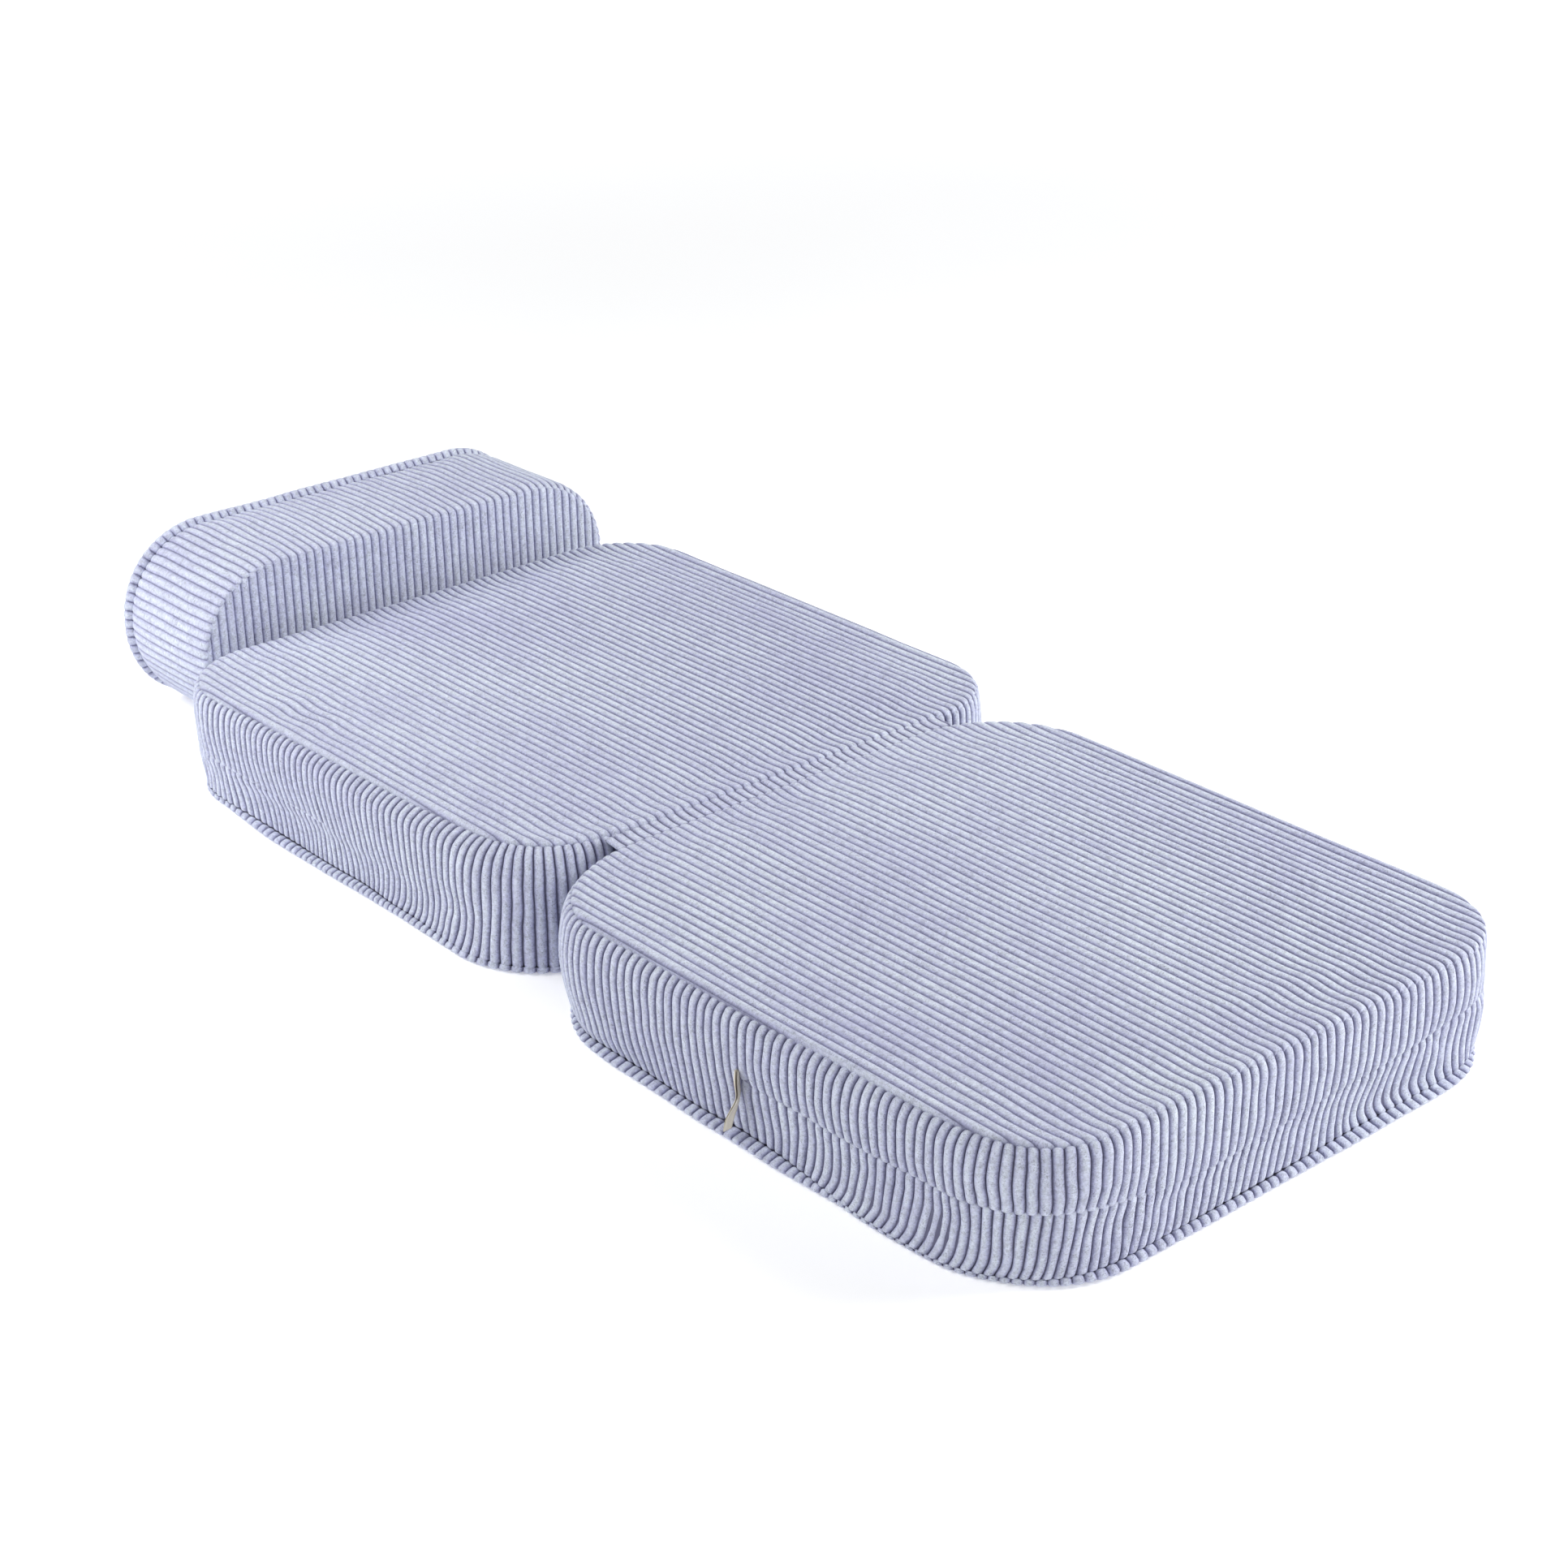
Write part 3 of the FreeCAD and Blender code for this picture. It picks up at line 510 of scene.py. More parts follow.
def panel(name, poly, phase0, tip, place, flip=False, middle=7.5, dome=(1.8, 3.2), seed=1, wobble=0.5, bend=None,
          depth=2.7, wall=2.6, soft=0.80):
    """A panel of corduroy inside a convex outline, its wales along q, as a closed solid.

    tip gives the crests' height over the plane at p, q and the distance d from the seam.
    """
    poly = poly[:: max(1, len(poly) // 700)]
    left = int(np.argmin(poly[:, 0]))
    chain = np.roll(poly, -left, 0)
    right = int(np.argmax(chain[:, 0]))
    low, high = chain[: right + 1], np.concatenate([chain[right:], chain[:1]])[::-1]
    p, phase, k = columns(float(chain[0, 0]) + 0.35, float(chain[right, 0]) - 0.35, phase0)
    shape, hv = rib(phase), wale_height(k, seed)
    q0 = np.interp(p, np.maximum.accumulate(low[:, 0]) + np.arange(len(low)) * 1e-7, low[:, 1])
    q1 = np.interp(p, np.maximum.accumulate(high[:, 0]) + np.arange(len(high)) * 1e-7, high[:, 1])
    span = q1 - q0
    scale = np.minimum(1.0, span / (2.6 * END_STEPS[-1]))
    longest = float(span.max())
    n_mid = max(3, int((longest - 2 * END_STEPS[-1]) / middle))
    rows_q = [q0 + scale * e for e in END_STEPS]
    for i in range(1, n_mid):
        f = i / n_mid
        rows_q.append((q0 + scale * END_STEPS[-1]) * (1 - f) + (q1 - scale * END_STEPS[-1]) * f)
    rows_q += [q1 - scale * e for e in END_STEPS[::-1]]
    Q = np.array(rows_q)
    Pp = np.tile(p, (len(Q), 1))
    d = distance_to(poly, Pp, Q)
    inside = np.clip(d / 14.0, 0, 1)
    k_grid = np.tile(k, (len(Q), 1))
    X = Pp + inside * wobble * noise2(Pp / 16.0, Q / 60.0, seed + 3)
    if bend is not None:
        X = X + inside * bend(Pp, Q)
    tips = tip(X, Q, d) + inside * (0.25 * noise2(X / 60.0, Q / 75.0, seed + 5) - 0.25)
    deep = dome[0](X, Q) if callable(dome[0]) else dome[0] * np.ones_like(Q)
    sink = end_dome(d, deep, dome[1])
    depth = depth(X, Q) if callable(depth) else depth
    carve = np.maximum(depth * hv[None, :] - 0.6 * sink, 0.15) * (1 - shape[None, :])
    fur = 0.07 * noise2(Pp / 1.3, Q / 3.1, seed + 8)
    Hh = tips - sink - carve - fur
    G = np.stack([X, Q, Hh], 2)
    m, n = Q.shape
    idx = np.arange(m * n).reshape(m, n)
    q_ = np.stack([idx[:-1, :-1], idx[:-1, 1:], idx[1:, 1:], idx[1:, :-1]], -1).reshape(-1, 4)
    loop = np.concatenate([idx[0, :], idx[1:, -1], idx[-1, -2::-1], idx[-2:0:-1, 0]])
    pts = G.reshape(-1, 3)
    ring = pts[loop]
    middle_pt = ring.mean(0)
    to = middle_pt[:2] - ring[:, :2]
    to /= np.maximum(np.linalg.norm(to, axis=1, keepdims=True), 1e-6)
    rim = ring.copy()
    rim[:, :2] += to * 1.2
    rim[:, 2] = ring[:, 2].min() - wall
    start = len(pts)
    ids = start + np.arange(len(loop))
    nxt = np.roll(np.arange(len(loop)), -1)
    side = np.stack([loop, ids, ids[nxt], loop[nxt]], -1)
    quads = np.concatenate([q_, side])
    cap = ids[::-1]
    if flip:
        quads, cap = quads[:, ::-1], cap[::-1]
    # the map: the panel from above, with its rim along one edge
    lo, size = G.reshape(-1, 3)[:, :2].min(0), np.ptp(G.reshape(-1, 3)[:, :2], axis=0).max() / 0.96
    flat_uv = (pts[:, :2] - lo) / size
    uv = flat_uv[q_]
    a = np.arange(len(loop)) / len(loop) * 0.955
    b = (np.arange(len(loop)) + 1) / len(loop) * 0.955
    one = np.ones(len(loop))
    uv_side = np.stack([np.stack([a, 0.972 * one], 1), np.stack([a, 0.99 * one], 1),
                        np.stack([b, 0.99 * one], 1), np.stack([b, 0.972 * one], 1)], 1)
    uv = np.concatenate([uv, uv_side])
    if flip:
        uv = uv[:, ::-1]
    # soft sets how strongly the grooves' shade is painted; the groove mask sets the painted shade on the flanks and in
    # the grooves
    soft = soft(X, Q) if callable(soft) else soft * np.ones_like(Q)
    groove = np.concatenate([((1 - shape[None, :]) * soft).ravel(), np.ones(len(loop))])
    # painted shade at the seam: the wale ends darkened within 2.2 mm of the outline
    end = np.clip(1 - d / 2.2, 0, 1) * np.clip(deep / 2.0, 0.1, 1) * (0.45 + 0.55 * (1 - shape[None, :]))
    end = np.concatenate([end.ravel(), np.ones(len(loop))])
    fabric = np.stack([
        np.concatenate([Pp.ravel(), rim[:, 0]]), np.concatenate([Q.ravel(), rim[:, 1]]),
        np.concatenate([wale_shade(k_grid, seed).ravel(), np.zeros(len(loop))])], 1)
    fabric[:, :2] *= MM
    co = place(np.concatenate([pts, rim]))
    return make_mesh(name, co, quads, [cap], uv, {"groove": groove, "seam": end}, {"fabric": fabric})


# ------------------------------------------------------------------ foam, tape and small pieces
def lofted(name, loop, rings, place, step=6.0, seed=1, rough=0.25):
    """A closed body from rings of a loop: each ring is (offset, level)."""
    n = int(loop.length / step)
    s = np.linspace(0, loop.length, n, endpoint=False)
    x, y, nx, ny = loop.at(s)
    rows = []
    for r, c in rings:
        e = rough * noise2(s / 30.0, c / 30.0 * np.ones(n), seed)
        rows.append(np.stack([x + nx * (r + e), y + ny * (r + e), np.full(n, float(c))], 1))
    G = np.array(rows)
    quads, qi, qj = ring_quads(len(rings), n, False, True)
    first, last = np.arange(n), (len(rings) - 1) * n + np.arange(n)
    vi = np.linspace(0.02, 0.9, len(rings))
    u = np.arange(n + 1) / n * 0.95
    uv = np.stack([np.stack([u[qj], vi[qi]], 1), np.stack([u[qj], vi[qi + 1]], 1),
                   np.stack([u[qj + 1], vi[qi + 1]], 1), np.stack([u[qj + 1], vi[qi]], 1)], 1)
    return make_mesh(name, place(G.reshape(-1, 3)), quads, [first, last[::-1]], uv)


def tape_band(name, loop, out, t_mid, level, u0, u1, place, inset=6.4, half=11.0, sign=-1.0):
    """A zip behind its seam: a flat tape with a row of coil teeth along its middle."""
    n = int((u1 - u0) / 0.75)
    s = np.linspace(u0, u1, n)
    x, y, nx, ny = loop.at(s)
    r = along(out.at(s), t_mid) - inset
    c = along(level.at(s), t_mid)
    tooth = (np.arange(n) % 2) * 0.55
    profile = [(0.0, -half), (0.9, -half), (0.9, -2.2), (1.6, -1.6), (1.9, 0.0), (1.6, 1.6), (0.9, 2.2), (0.9, half),
               (0.0, half)]
    rows = []
    for d, w in profile:
        dd = d + (tooth if d > 1.0 else 0.0)
        rows.append(np.stack([x + nx * (r + dd), y + ny * (r + dd), c - sign * w], 1))
    G = np.array(rows)
    m = len(profile)
    quads, qi, qj = ring_quads(m, n, True, False)
    first, last = [i * n for i in range(m)], [i * n + n - 1 for i in range(m)]
    u = np.arange(n) / n * 0.95
    v = np.arange(m + 1) / m * 0.95
    uv = np.stack([np.stack([u[qj], v[qi]], 1), np.stack([u[qj], v[qi + 1]], 1),
                   np.stack([u[qj + 1], v[qi + 1]], 1), np.stack([u[qj + 1], v[qi]], 1)], 1)
    if sign > 0:
        quads, uv, first, last = quads[:, ::-1], uv[:, ::-1], first[::-1], last[::-1]
    return make_mesh(name, place(G.reshape(-1, 3)), quads, [first[::-1], last], uv, smooth=False)


# ------------------------------------------------------------------ materials
def new_material(name):
    mat = bpy.data.materials.new(name)
    mat.use_nodes = True
    nt = mat.node_tree
    nt.nodes.clear()
    out = nt.nodes.new("ShaderNodeOutputMaterial")
    bsdf = nt.nodes.new("ShaderNodeBsdfPrincipled")
    nt.links.new(bsdf.outputs["BSDF"], out.inputs["Surface"])
    return mat, nt, bsdf


class Nodes:
    """Short ways to add nodes to a tree."""

    def __init__(self, nt):
        self.nt = nt

    def link(self, a, b):
        self.nt.links.new(a, b)

    def attribute(self, name):
        n = self.nt.nodes.new("ShaderNodeAttribute")
        n.attribute_name = name
        return n

    def coords(self):
        return self.nt.nodes.new("ShaderNodeTexCoord").outputs["Object"]

    def scaled(self, vector, x, y, z):
        n = self.nt.nodes.new("ShaderNodeVectorMath")
        n.operation = "MULTIPLY"
        self.link(vector, n.inputs[0])
        n.inputs[1].default_value = (x, y, z)
        return n.outputs[0]

    def noise(self, vector, scale, detail=2.0, rough=0.5, distortion=0.0):
        n = self.nt.nodes.new("ShaderNodeTexNoise")
        n.inputs["Scale"].default_value = scale
        n.inputs["Detail"].default_value = detail
        n.inputs["Roughness"].default_value = rough
        n.inputs["Distortion"].default_value = distortion
        self.link(vector, n.inputs["Vector"])
        return n.outputs["Fac"]

    def voronoi(self, vector, scale, feature="F1"):
        n = self.nt.nodes.new("ShaderNodeTexVoronoi")
        n.feature = feature
        n.inputs["Scale"].default_value = scale
        self.link(vector, n.inputs["Vector"])
        return n.outputs["Distance"]

    def math(self, operation, a, b=None, clamp=False):
        n = self.nt.nodes.new("ShaderNodeMath")
        n.operation = operation
        n.use_clamp = clamp
        for i, x in enumerate((a, b)):
            if x is None:
                continue
            if isinstance(x, (int, float)):
                n.inputs[i].default_value = x
            else:
                self.link(x, n.inputs[i])
        return n.outputs[0]

    def ramp(self, fac, stops):
        n = self.nt.nodes.new("ShaderNodeValToRGB")
        r = n.color_ramp
        while len(r.elements) < len(stops):
            r.elements.new(0.5)
        for e, (at, c) in zip(r.elements, stops):
            e.position = at
            e.color = (*c, 1) if hasattr(c, "__len__") else (c, c, c, 1)
        self.link(fac, n.inputs["Fac"])
        return n.outputs["Color"]

    def mix(self, a, b, fac, blend="MIX"):
        n = self.nt.nodes.new("ShaderNodeMix")
        n.data_type = "RGBA"
        n.blend_type = blend
        for key, x in (("Factor", fac), ("A", a), ("B", b)):
            sock = [i for i in n.inputs if i.name == key and (i.type == "RGBA" if key != "Factor" else i.type == "VALUE")][0]
            if isinstance(x, (int, float)):
                sock.default_value = x
            elif hasattr(x, "__len__"):
                sock.default_value = (*x, 1)
            else:
                self.link(x, sock)
        return [o for o in n.outputs if o.type == "RGBA"][0]

    def bump(self, height, strength, distance, normal=None):
        n = self.nt.nodes.new("ShaderNodeBump")
        n.inputs["Strength"].default_value = strength
        n.inputs["Distance"].default_value = distance
        self.link(height, n.inputs["Height"])
        if normal is not None:
            self.link(normal, n.inputs["Normal"])
        return n.outputs["Normal"]


CREST = (0.735, 0.790, 0.885)
MIDDLE = (0.555, 0.566, 0.760)
# the colour of the painted shade on the wales' flanks
FLANK_SHADE = (0.405, 0.412, 0.650)
# the colour of the painted shade in the grooves and at the seams
GROOVE_SHADE = (0.118, 0.118, 0.190)


def corduroy(name, crest=CREST, middle=MIDDLE, flank_shade=FLANK_SHADE, groove=GROOVE_SHADE, groove_shade_mix=0.92):
    """Wide-rib corduroy: pale crests, painted shade on the purple flanks, in the dark grooves and at the seams, and
    pile that stands across the wales.
    """
    mat, nt, bsdf = new_material(name)
    k = Nodes(nt)
    obj = k.coords()
    fab = k.attribute("fabric").outputs["Vector"]
    gr = k.attribute("groove").outputs["Fac"]
    seam = k.attribute("seam").outputs["Fac"]
    # nap: patches brushed lighter and darker, some across many wales, some on one wale only
    wide = k.noise(obj, 6.0, 2.0, 0.5)
    patch = k.noise(k.scaled(fab, 40.0, 17.0, 0.8), 1.0, 3.0, 0.6)
    streak = k.noise(k.scaled(fab, 250.0, 70.0, 2.5), 1.0, 3.0, 0.7)
    nap_fac = k.math("ADD", k.math("MULTIPLY", patch, 0.24), k.math("MULTIPLY", wide, 0.38))
    nap_fac = k.math("ADD", nap_fac, k.math("MULTIPLY", streak, 0.36))
    nap_fac = k.math("ADD", nap_fac, k.math("MULTIPLY", k.noise(obj, 130.0, 2.0, 0.55), 0.16))
    nap_fac = k.math("MULTIPLY", nap_fac, 0.88)
    colour = k.ramp(nap_fac, [(0.34, middle), (0.60, crest)])
    # painted shade: the wale's flanks, from the crest towards the groove, are darkened to a deeper purple
    flank_shade_mask = k.ramp(gr, [(0.015, 0.0), (0.16, 0.45), (0.42, 1.0)])
    colour = k.mix(colour, flank_shade, k.math("MULTIPLY", flank_shade_mask, 0.80), "MIX")
    # pile: fine streaks across the wale, tufts, and dark points that come in clusters
    grain = k.noise(k.scaled(fab, 420.0, 1150.0, 3.0), 1.0, 2.0, 0.65)
    tufts = k.noise(obj, 420.0, 3.0, 0.65)
    cluster = k.ramp(k.noise(k.scaled(fab, 90.0, 42.0, 1.3), 1.0, 2.0, 0.6), [(0.40, 0.25), (0.62, 1.0)])
    points = k.ramp(k.noise(obj, 900.0, 1.0, 0.5), [(0.31, 0.50), (0.43, 1.0)])
    colour = k.mix(colour, k.ramp(grain, [(0.30, 0.78), (0.50, 0.98), (0.70, 1.08)]), 0.70, "MULTIPLY")
    colour = k.mix(colour, k.ramp(tufts, [(0.30, 0.76), (0.47, 0.97), (0.68, 1.08)]), 0.75, "MULTIPLY")
    colour = k.mix(colour, points, k.math("MULTIPLY", cluster, 0.80), "MULTIPLY")
    blots = k.ramp(k.noise(obj, 230.0, 2.0, 0.6), [(0.34, 0.84), (0.50, 1.0), (0.66, 1.07)])
    colour = k.mix(colour, blots, 0.85, "MULTIPLY")
    # painted shade: the groove darkened, wider and narrower along the wale, and the seams
    ragged = k.math("MULTIPLY", k.math("SUBTRACT", k.noise(obj, 300.0, 3.0, 0.65), 0.5), 0.55)
    edge = k.ramp(k.math("ADD", gr, ragged), [(0.24, 0.0), (0.50, 0.42), (0.84, 1.0)])
    colour = k.mix(colour, groove, k.math("MULTIPLY", edge, groove_shade_mix), "MIX")
    # painted shade at the seams, where the wale ends sink in
    colour = k.mix(colour, groove, k.math("MULTIPLY", k.math("POWER", seam, 1.6, True), 0.50), "MIX")
    nt.links.new(colour, bsdf.inputs["Base Color"])
    rough = k.math("ADD", k.math("MULTIPLY", grain, 0.12), 0.86)
    nt.links.new(rough, bsdf.inputs["Roughness"])
    bsdf.inputs["Specular IOR Level"].default_value = 0.10
    bsdf.inputs["Sheen Weight"].default_value = 0.22
    bsdf.inputs["Sheen Roughness"].default_value = 0.45
    bsdf.inputs["Sheen Tint"].default_value = (0.92, 0.94, 1.0, 1)
    fine = k.math("ADD", k.math("MULTIPLY", grain, 0.9), k.math("MULTIPLY", tufts, 0.7))
    fine = k.math("ADD", fine, k.math("MULTIPLY", points, 0.35))
    nt.links.new(k.bump(fine, 0.75, 0.0012), bsdf.inputs["Normal"])
    return mat


def foam_material():
    mat, nt, bsdf = new_material("foam")
    k = Nodes(nt)
    obj = k.coords()
    cells = k.voronoi(obj, 620.0)
    colour = k.ramp(cells, [(0.0, (0.62, 0.58, 0.46)), (0.35, (0.86, 0.83, 0.72)), (1.0, (0.92, 0.90, 0.82))])
    colour = k.mix(colour, (0.80, 0.74, 0.58), k.math("MULTIPLY", k.noise(obj, 6.0, 3.0), 0.35))
    nt.links.new(colour, bsdf.inputs["Base Color"])
    bsdf.inputs["Roughness"].default_value = 0.95
    nt.links.new(k.bump(cells, 0.6, 0.0008), bsdf.inputs["Normal"])
    return mat


def tape_material():
    mat, nt, bsdf = new_material("zip_tape")
    k = Nodes(nt)
    obj = k.coords()
    weave = k.noise(obj, 1100.0, 1.0)
    colour = k.ramp(weave, [(0.3, (0.20, 0.20, 0.32)), (0.7, (0.38, 0.39, 0.55))])
    nt.links.new(colour, bsdf.inputs["Base Color"])
    bsdf.inputs["Roughness"].default_value = 0.7
    nt.links.new(k.bump(weave, 0.5, 0.0004), bsdf.inputs["Normal"])
    return mat


def slider_material():
    mat, nt, bsdf = new_material("slider_paint")
    k = Nodes(nt)
    obj = k.coords()
    wear = k.noise(obj, 260.0, 4.0, 0.6)
    colour = k.ramp(wear, [(0.35, (0.34, 0.35, 0.52)), (0.60, (0.42, 0.43, 0.60)), (0.78, (0.50, 0.51, 0.66))])
    nt.links.new(colour, bsdf.inputs["Base Color"])
    nt.links.new(k.math("ADD", k.math("MULTIPLY", wear, 0.25), 0.25), bsdf.inputs["Roughness"])
    bsdf.inputs["Metallic"].default_value = 0.25
    nt.links.new(k.bump(wear, 0.15, 0.0003), bsdf.inputs["Normal"])
    return mat


def label_material():
    mat, nt, bsdf = new_material("label_weave")
    k = Nodes(nt)
    obj = k.coords()
    warp = nt.nodes.new("ShaderNodeTexWave")
    warp.wave_type = "BANDS"
    warp.bands_direction = "Z"
    warp.inputs["Scale"].default_value = 420.0
    warp.inputs["Distortion"].default_value = 0.6
    nt.links.new(obj, warp.inputs["Vector"])
    colour = k.ramp(warp.outputs["Fac"], [(0.2, (0.66, 0.61, 0.50)), (0.8, (0.83, 0.79, 0.68))])
    colour = k.mix(colour, (0.55, 0.49, 0.38), k.math("MULTIPLY", k.noise(obj, 60.0, 3.0), 0.30))
    # painted shade: the edges of the tag's upper part darkened brown
    colour = k.mix(colour, (0.13, 0.10, 0.08), k.math("MULTIPLY", k.attribute("edge").outputs["Fac"], 0.85))
    nt.links.new(colour, bsdf.inputs["Base Color"])
    bsdf.inputs["Roughness"].default_value = 0.75
    nt.links.new(k.bump(warp.outputs["Fac"], 0.4, 0.0002), bsdf.inputs["Normal"])
    return mat


CORD = corduroy("corduroy_cover")
FOAM, TAPE, PAINT, WOVEN = foam_material(), tape_material(), slider_material(), label_material()


def dress(ob, material, body, nodes):
    ob.data.materials.append(material)
    if body:
        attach(ob, body)
    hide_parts(*nodes)
    return ob


# ------------------------------------------------------------------ the sizes of the three blocks
HINGE_Y, GAP, REAR_GAP = -80.0, 23.2, 21.9
TALL = 120.0
BASE = dict(w=587.0, l=629.0, low=94.0, high=110.0, cx=-16.1, cy=HINGE_Y - GAP / 2 - 629.0 / 2)
SEAT = dict(w=600.0, l=609.0, low=89.0, high=89.0, cx=12.5, cy=HINGE_Y + GAP / 2 + 609.0 / 2)
BOL = dict(w=516.0, h=194.0, r=94.0, cx=24.5, y=HINGE_Y + GAP / 2 + 609.0 + REAR_GAP, deep=167.0)


def same(points):
    return points


def below(points):
    return np.stack([points[:, 0], points[:, 1], -points[:, 2]], 1)


def front(points):
    return np.stack([points[:, 0], -points[:, 2], points[:, 1]], 1)


def back(points):
    return np.stack([points[:, 0], points[:, 2], points[:, 1]], 1)


def stood_up(points):
    """Loop coordinates of the bolster, x and z in its section and y back, to the row frame."""
    return np.stack([points[:, 0], points[:, 2], points[:, 1]], 1)


T_TOP = [0, 0.07, 0.16, 0.28, 0.44, 0.64, 0.86, 1.1, 1.36, 1.66, 2.0, 2.35, 2.7, 3.05, 3.4, 3.75]
T_PLAIN = T_TOP + [4.1, 4.45, 4.8, 5.15, 5.5, 5.85, 6.2, 6.5, 6.8, 7.05, 7.25, 7.42, 7.57, 7.7, 7.8, 7.88, 7.95, 8]
T_UPPER = T_TOP + [4.05, 4.3, 4.5, 4.65, 4.77, 4.86, 4.93, 4.98, 5.02]
T_LOWER = [4.94, 4.98, 5.03, 5.09, 5.17, 5.28, 5.42, 5.6, 5.82, 6.1, 6.4, 6.7, 7.0, 7.22, 7.4, 7.55, 7.68, 7.78, 7.87,
           7.94, 8]


def cover(prefix, g, start, far_is_low, rows, welt_out, edge, tip, seed, bend=None):
    """One block's cover. rows are (x, y, offsets, leans) from the block's centre."""
    x0, x1 = g["cx"] - g["w"] / 2, g["cx"] + g["w"] / 2
    y0, y1 = g["cy"] - g["l"] / 2, g["cy"] + g["l"] / 2
    loop = Loop(*rounded_rect(x0, x1, y0, y1, g["low"], g["high"]), (x0, g["cy"] + start))
    S, pitch = loop.length, loop.pitch
    side, face = swelling(prefix, loop, 0.5, TALL - 0.5)

    def find(x, y):
        return loop.find(g["cx"] + x, g["cy"] + y)

    out = Stations(loop, [(find(r[0], r[1]), r[2]) for r in rows], 14.0)
    lean = Stations(loop, [(find(r[0], r[1]), r[3]) for r in rows], 18.0)
    welt = Stations(loop, [(find(x, y), [w]) for x, y, w in welt_out], 18.0)
    # the seams: how deep each is, and the level of the top one
    top_deep = Stations(loop, [(find(x, y), [a]) for x, y, a, b, c, e in edge], 14.0)
    low_deep = Stations(loop, [(find(x, y), [b]) for x, y, a, b, c, e in edge], 14.0)
    levels = Stations(loop, [(find(x, y), [c, e]) for x, y, a, b, c, e in edge], 14.0)
    zips = Stations(loop, [(find(x, y), [c]) for x, y, c in g["zip_level"]], 20.0)
    s = loop.even
    z_top, z_low = levels.at(s)
    z_zip = zips.at(s)[0] + 1.2 * noise2(s / 60.0, 3.5, seed + 21)
    level = Stations(loop, [], 0.0)
    level.grid = s
    level.table = np.stack([z_top, z_top - 3.0, 0.75 * z_top + 18.0, 89.0 + 0 * s, 0.5 * (89 + z_zip), z_zip,
                            0.5 * z_zip + 0.5 * (z_low + 18), z_low + 12.0, z_low])
    # the wales of the side band at the far end stand under those of the top panel
    far_y = y0 if far_is_low else y1
    mid = loop.find(g["cx"], far_y)
    phase0 = mid - (loop.at(np.array([mid]))[0][0] - g["cx"]) * (1 if far_is_low else -1)
    start_s = to_groove(0.0, phase0, pitch)
    if "dent_deep" in g:
        g["dent"] = (start_s + 8.5, 56.0, g["dent_deep"], 5.5)
    join = to_groove(loop.find(x1, g["cy"] + start), phase0, pitch)
    if far_is_low:
        zipped, plain = (start_s, join), (join, start_s + S)
    else:
        plain, zipped = (start_s, join), (join, start_s + S)
    sway = Stations(loop, [(find(x, y), [w]) for x, y, w in g["sway"]], 20.0)
    pieces = {}
    pieces["plain"] = band(prefix + "_plain_boxing_cloth", loop, out, lean, level, *plain, T_PLAIN, same, phase0,
                           top=(top_deep, 4.2), bottom=(low_deep, 3.5), seed=seed, wave=0.7, puffed=side)
    relief = Stations(loop, [(find(x, y), [c]) for x, y, c in g["relief"]], 20.0)
    pieces["upper"] = band(prefix + "_zip_boxing_upper_cloth", loop, out, lean, level, *zipped, T_UPPER, same, phase0,
                           top=(top_deep, 4.2), bottom=(relief.times(2.4), 4.8), scallop=relief.times(2.0), seed=seed,
                           wave=0.9, dent=g.get("dent"), puffed=side)
    slide = Stations(loop, [(find(x, y), [w]) for x, y, w in g["slide"]], 12.0)
    pieces["lower"] = band(prefix + "_zip_boxing_lower_cloth", loop, out, lean, level, *zipped, T_LOWER, same, phase0,
                           top=(relief.times(1.6), 3.6), bottom=(low_deep, 3.5), seed=seed + 1, wave=sway,
                           tuck=relief.times(2.2), slide=slide, dent=g.get("dent"), puffed=side)
    # welt
    at = np.linspace(0, S, 900, endpoint=False)
    c_out, c_w, c_lean = out.at(at)[-1], welt.at(at)[0], lean.at(at)[-1]
    w_out, w_lean, w_level = Stations(loop, [], 0.0), Stations(loop, [], 0.0), Stations(loop, [], 0.0)
    w_out.grid = w_lean.grid = w_level.grid = at
    w = np.maximum(c_w, c_out + 0.8)
    w_out.table = np.stack([c_out - 0.5, c_out + 0.45 * (w - c_out), w - 1.2, w, w - 0.5, w - 2.6, np.minimum(w - 8.0, -3.0)])
    w_lean.table = np.tile(c_lean, (7, 1))
    z = levels.at(at)[1]
    w_level.table = np.stack([z + 0.6, 0.94 * z, 0.4 + 0.72 * z, 0.6 + 0.46 * z, 0.7 + 0.2 * z, 0.5 + 0.04 * z, 0.5 + 0 * z])
    pieces["welt"] = band(prefix + "_welt_cloth", loop, w_out, w_lean, w_level, start_s, start_s + S,
                          [0, 0.3, 0.65, 1.05, 1.5, 2.0, 2.6, 3.2, 3.8, 4.4, 5.0, 5.5, 6.0], same, phase0, closed=True,
                          top=(low_deep, 2.6), bottom=(0.2, 2.0), wall=1.0, seed=seed + 2, depth=2.7, wave=0.4,
                          depths=([0, 1.5, 3, 6], [1, 1, 0.8, 0.5]))
    # panels
    s = np.linspace(0, S, 1400, endpoint=False)
    x, y, nx, ny = loop.at(s)
    r = out.at(s)[0] + 0.4
    seam = np.stack([x + nx * r, y + ny * r], 1)
    half_w, half_l = g["w"] / 2, g["l"] / 2

    def deep(p, q):
        across, ahead = half_w - np.abs(p - g["cx"]), half_l - np.abs(q - g["cy"])
        f = np.clip((ahead - across) / 60.0 + 0.5, 0, 1)
        near = np.exp(-(((p - g["cx"] + 150) / 130.0) ** 2)) * (q < g["cy"]) * g.get("notch", 0.0)
        near = near + np.exp(-(((p - g["cx"] - 255) / 45.0) ** 2)) * (q < g["cy"]) * g.get("notch", 0.0)
        return 0.8 + 1.2 * f + near * (1 - f)

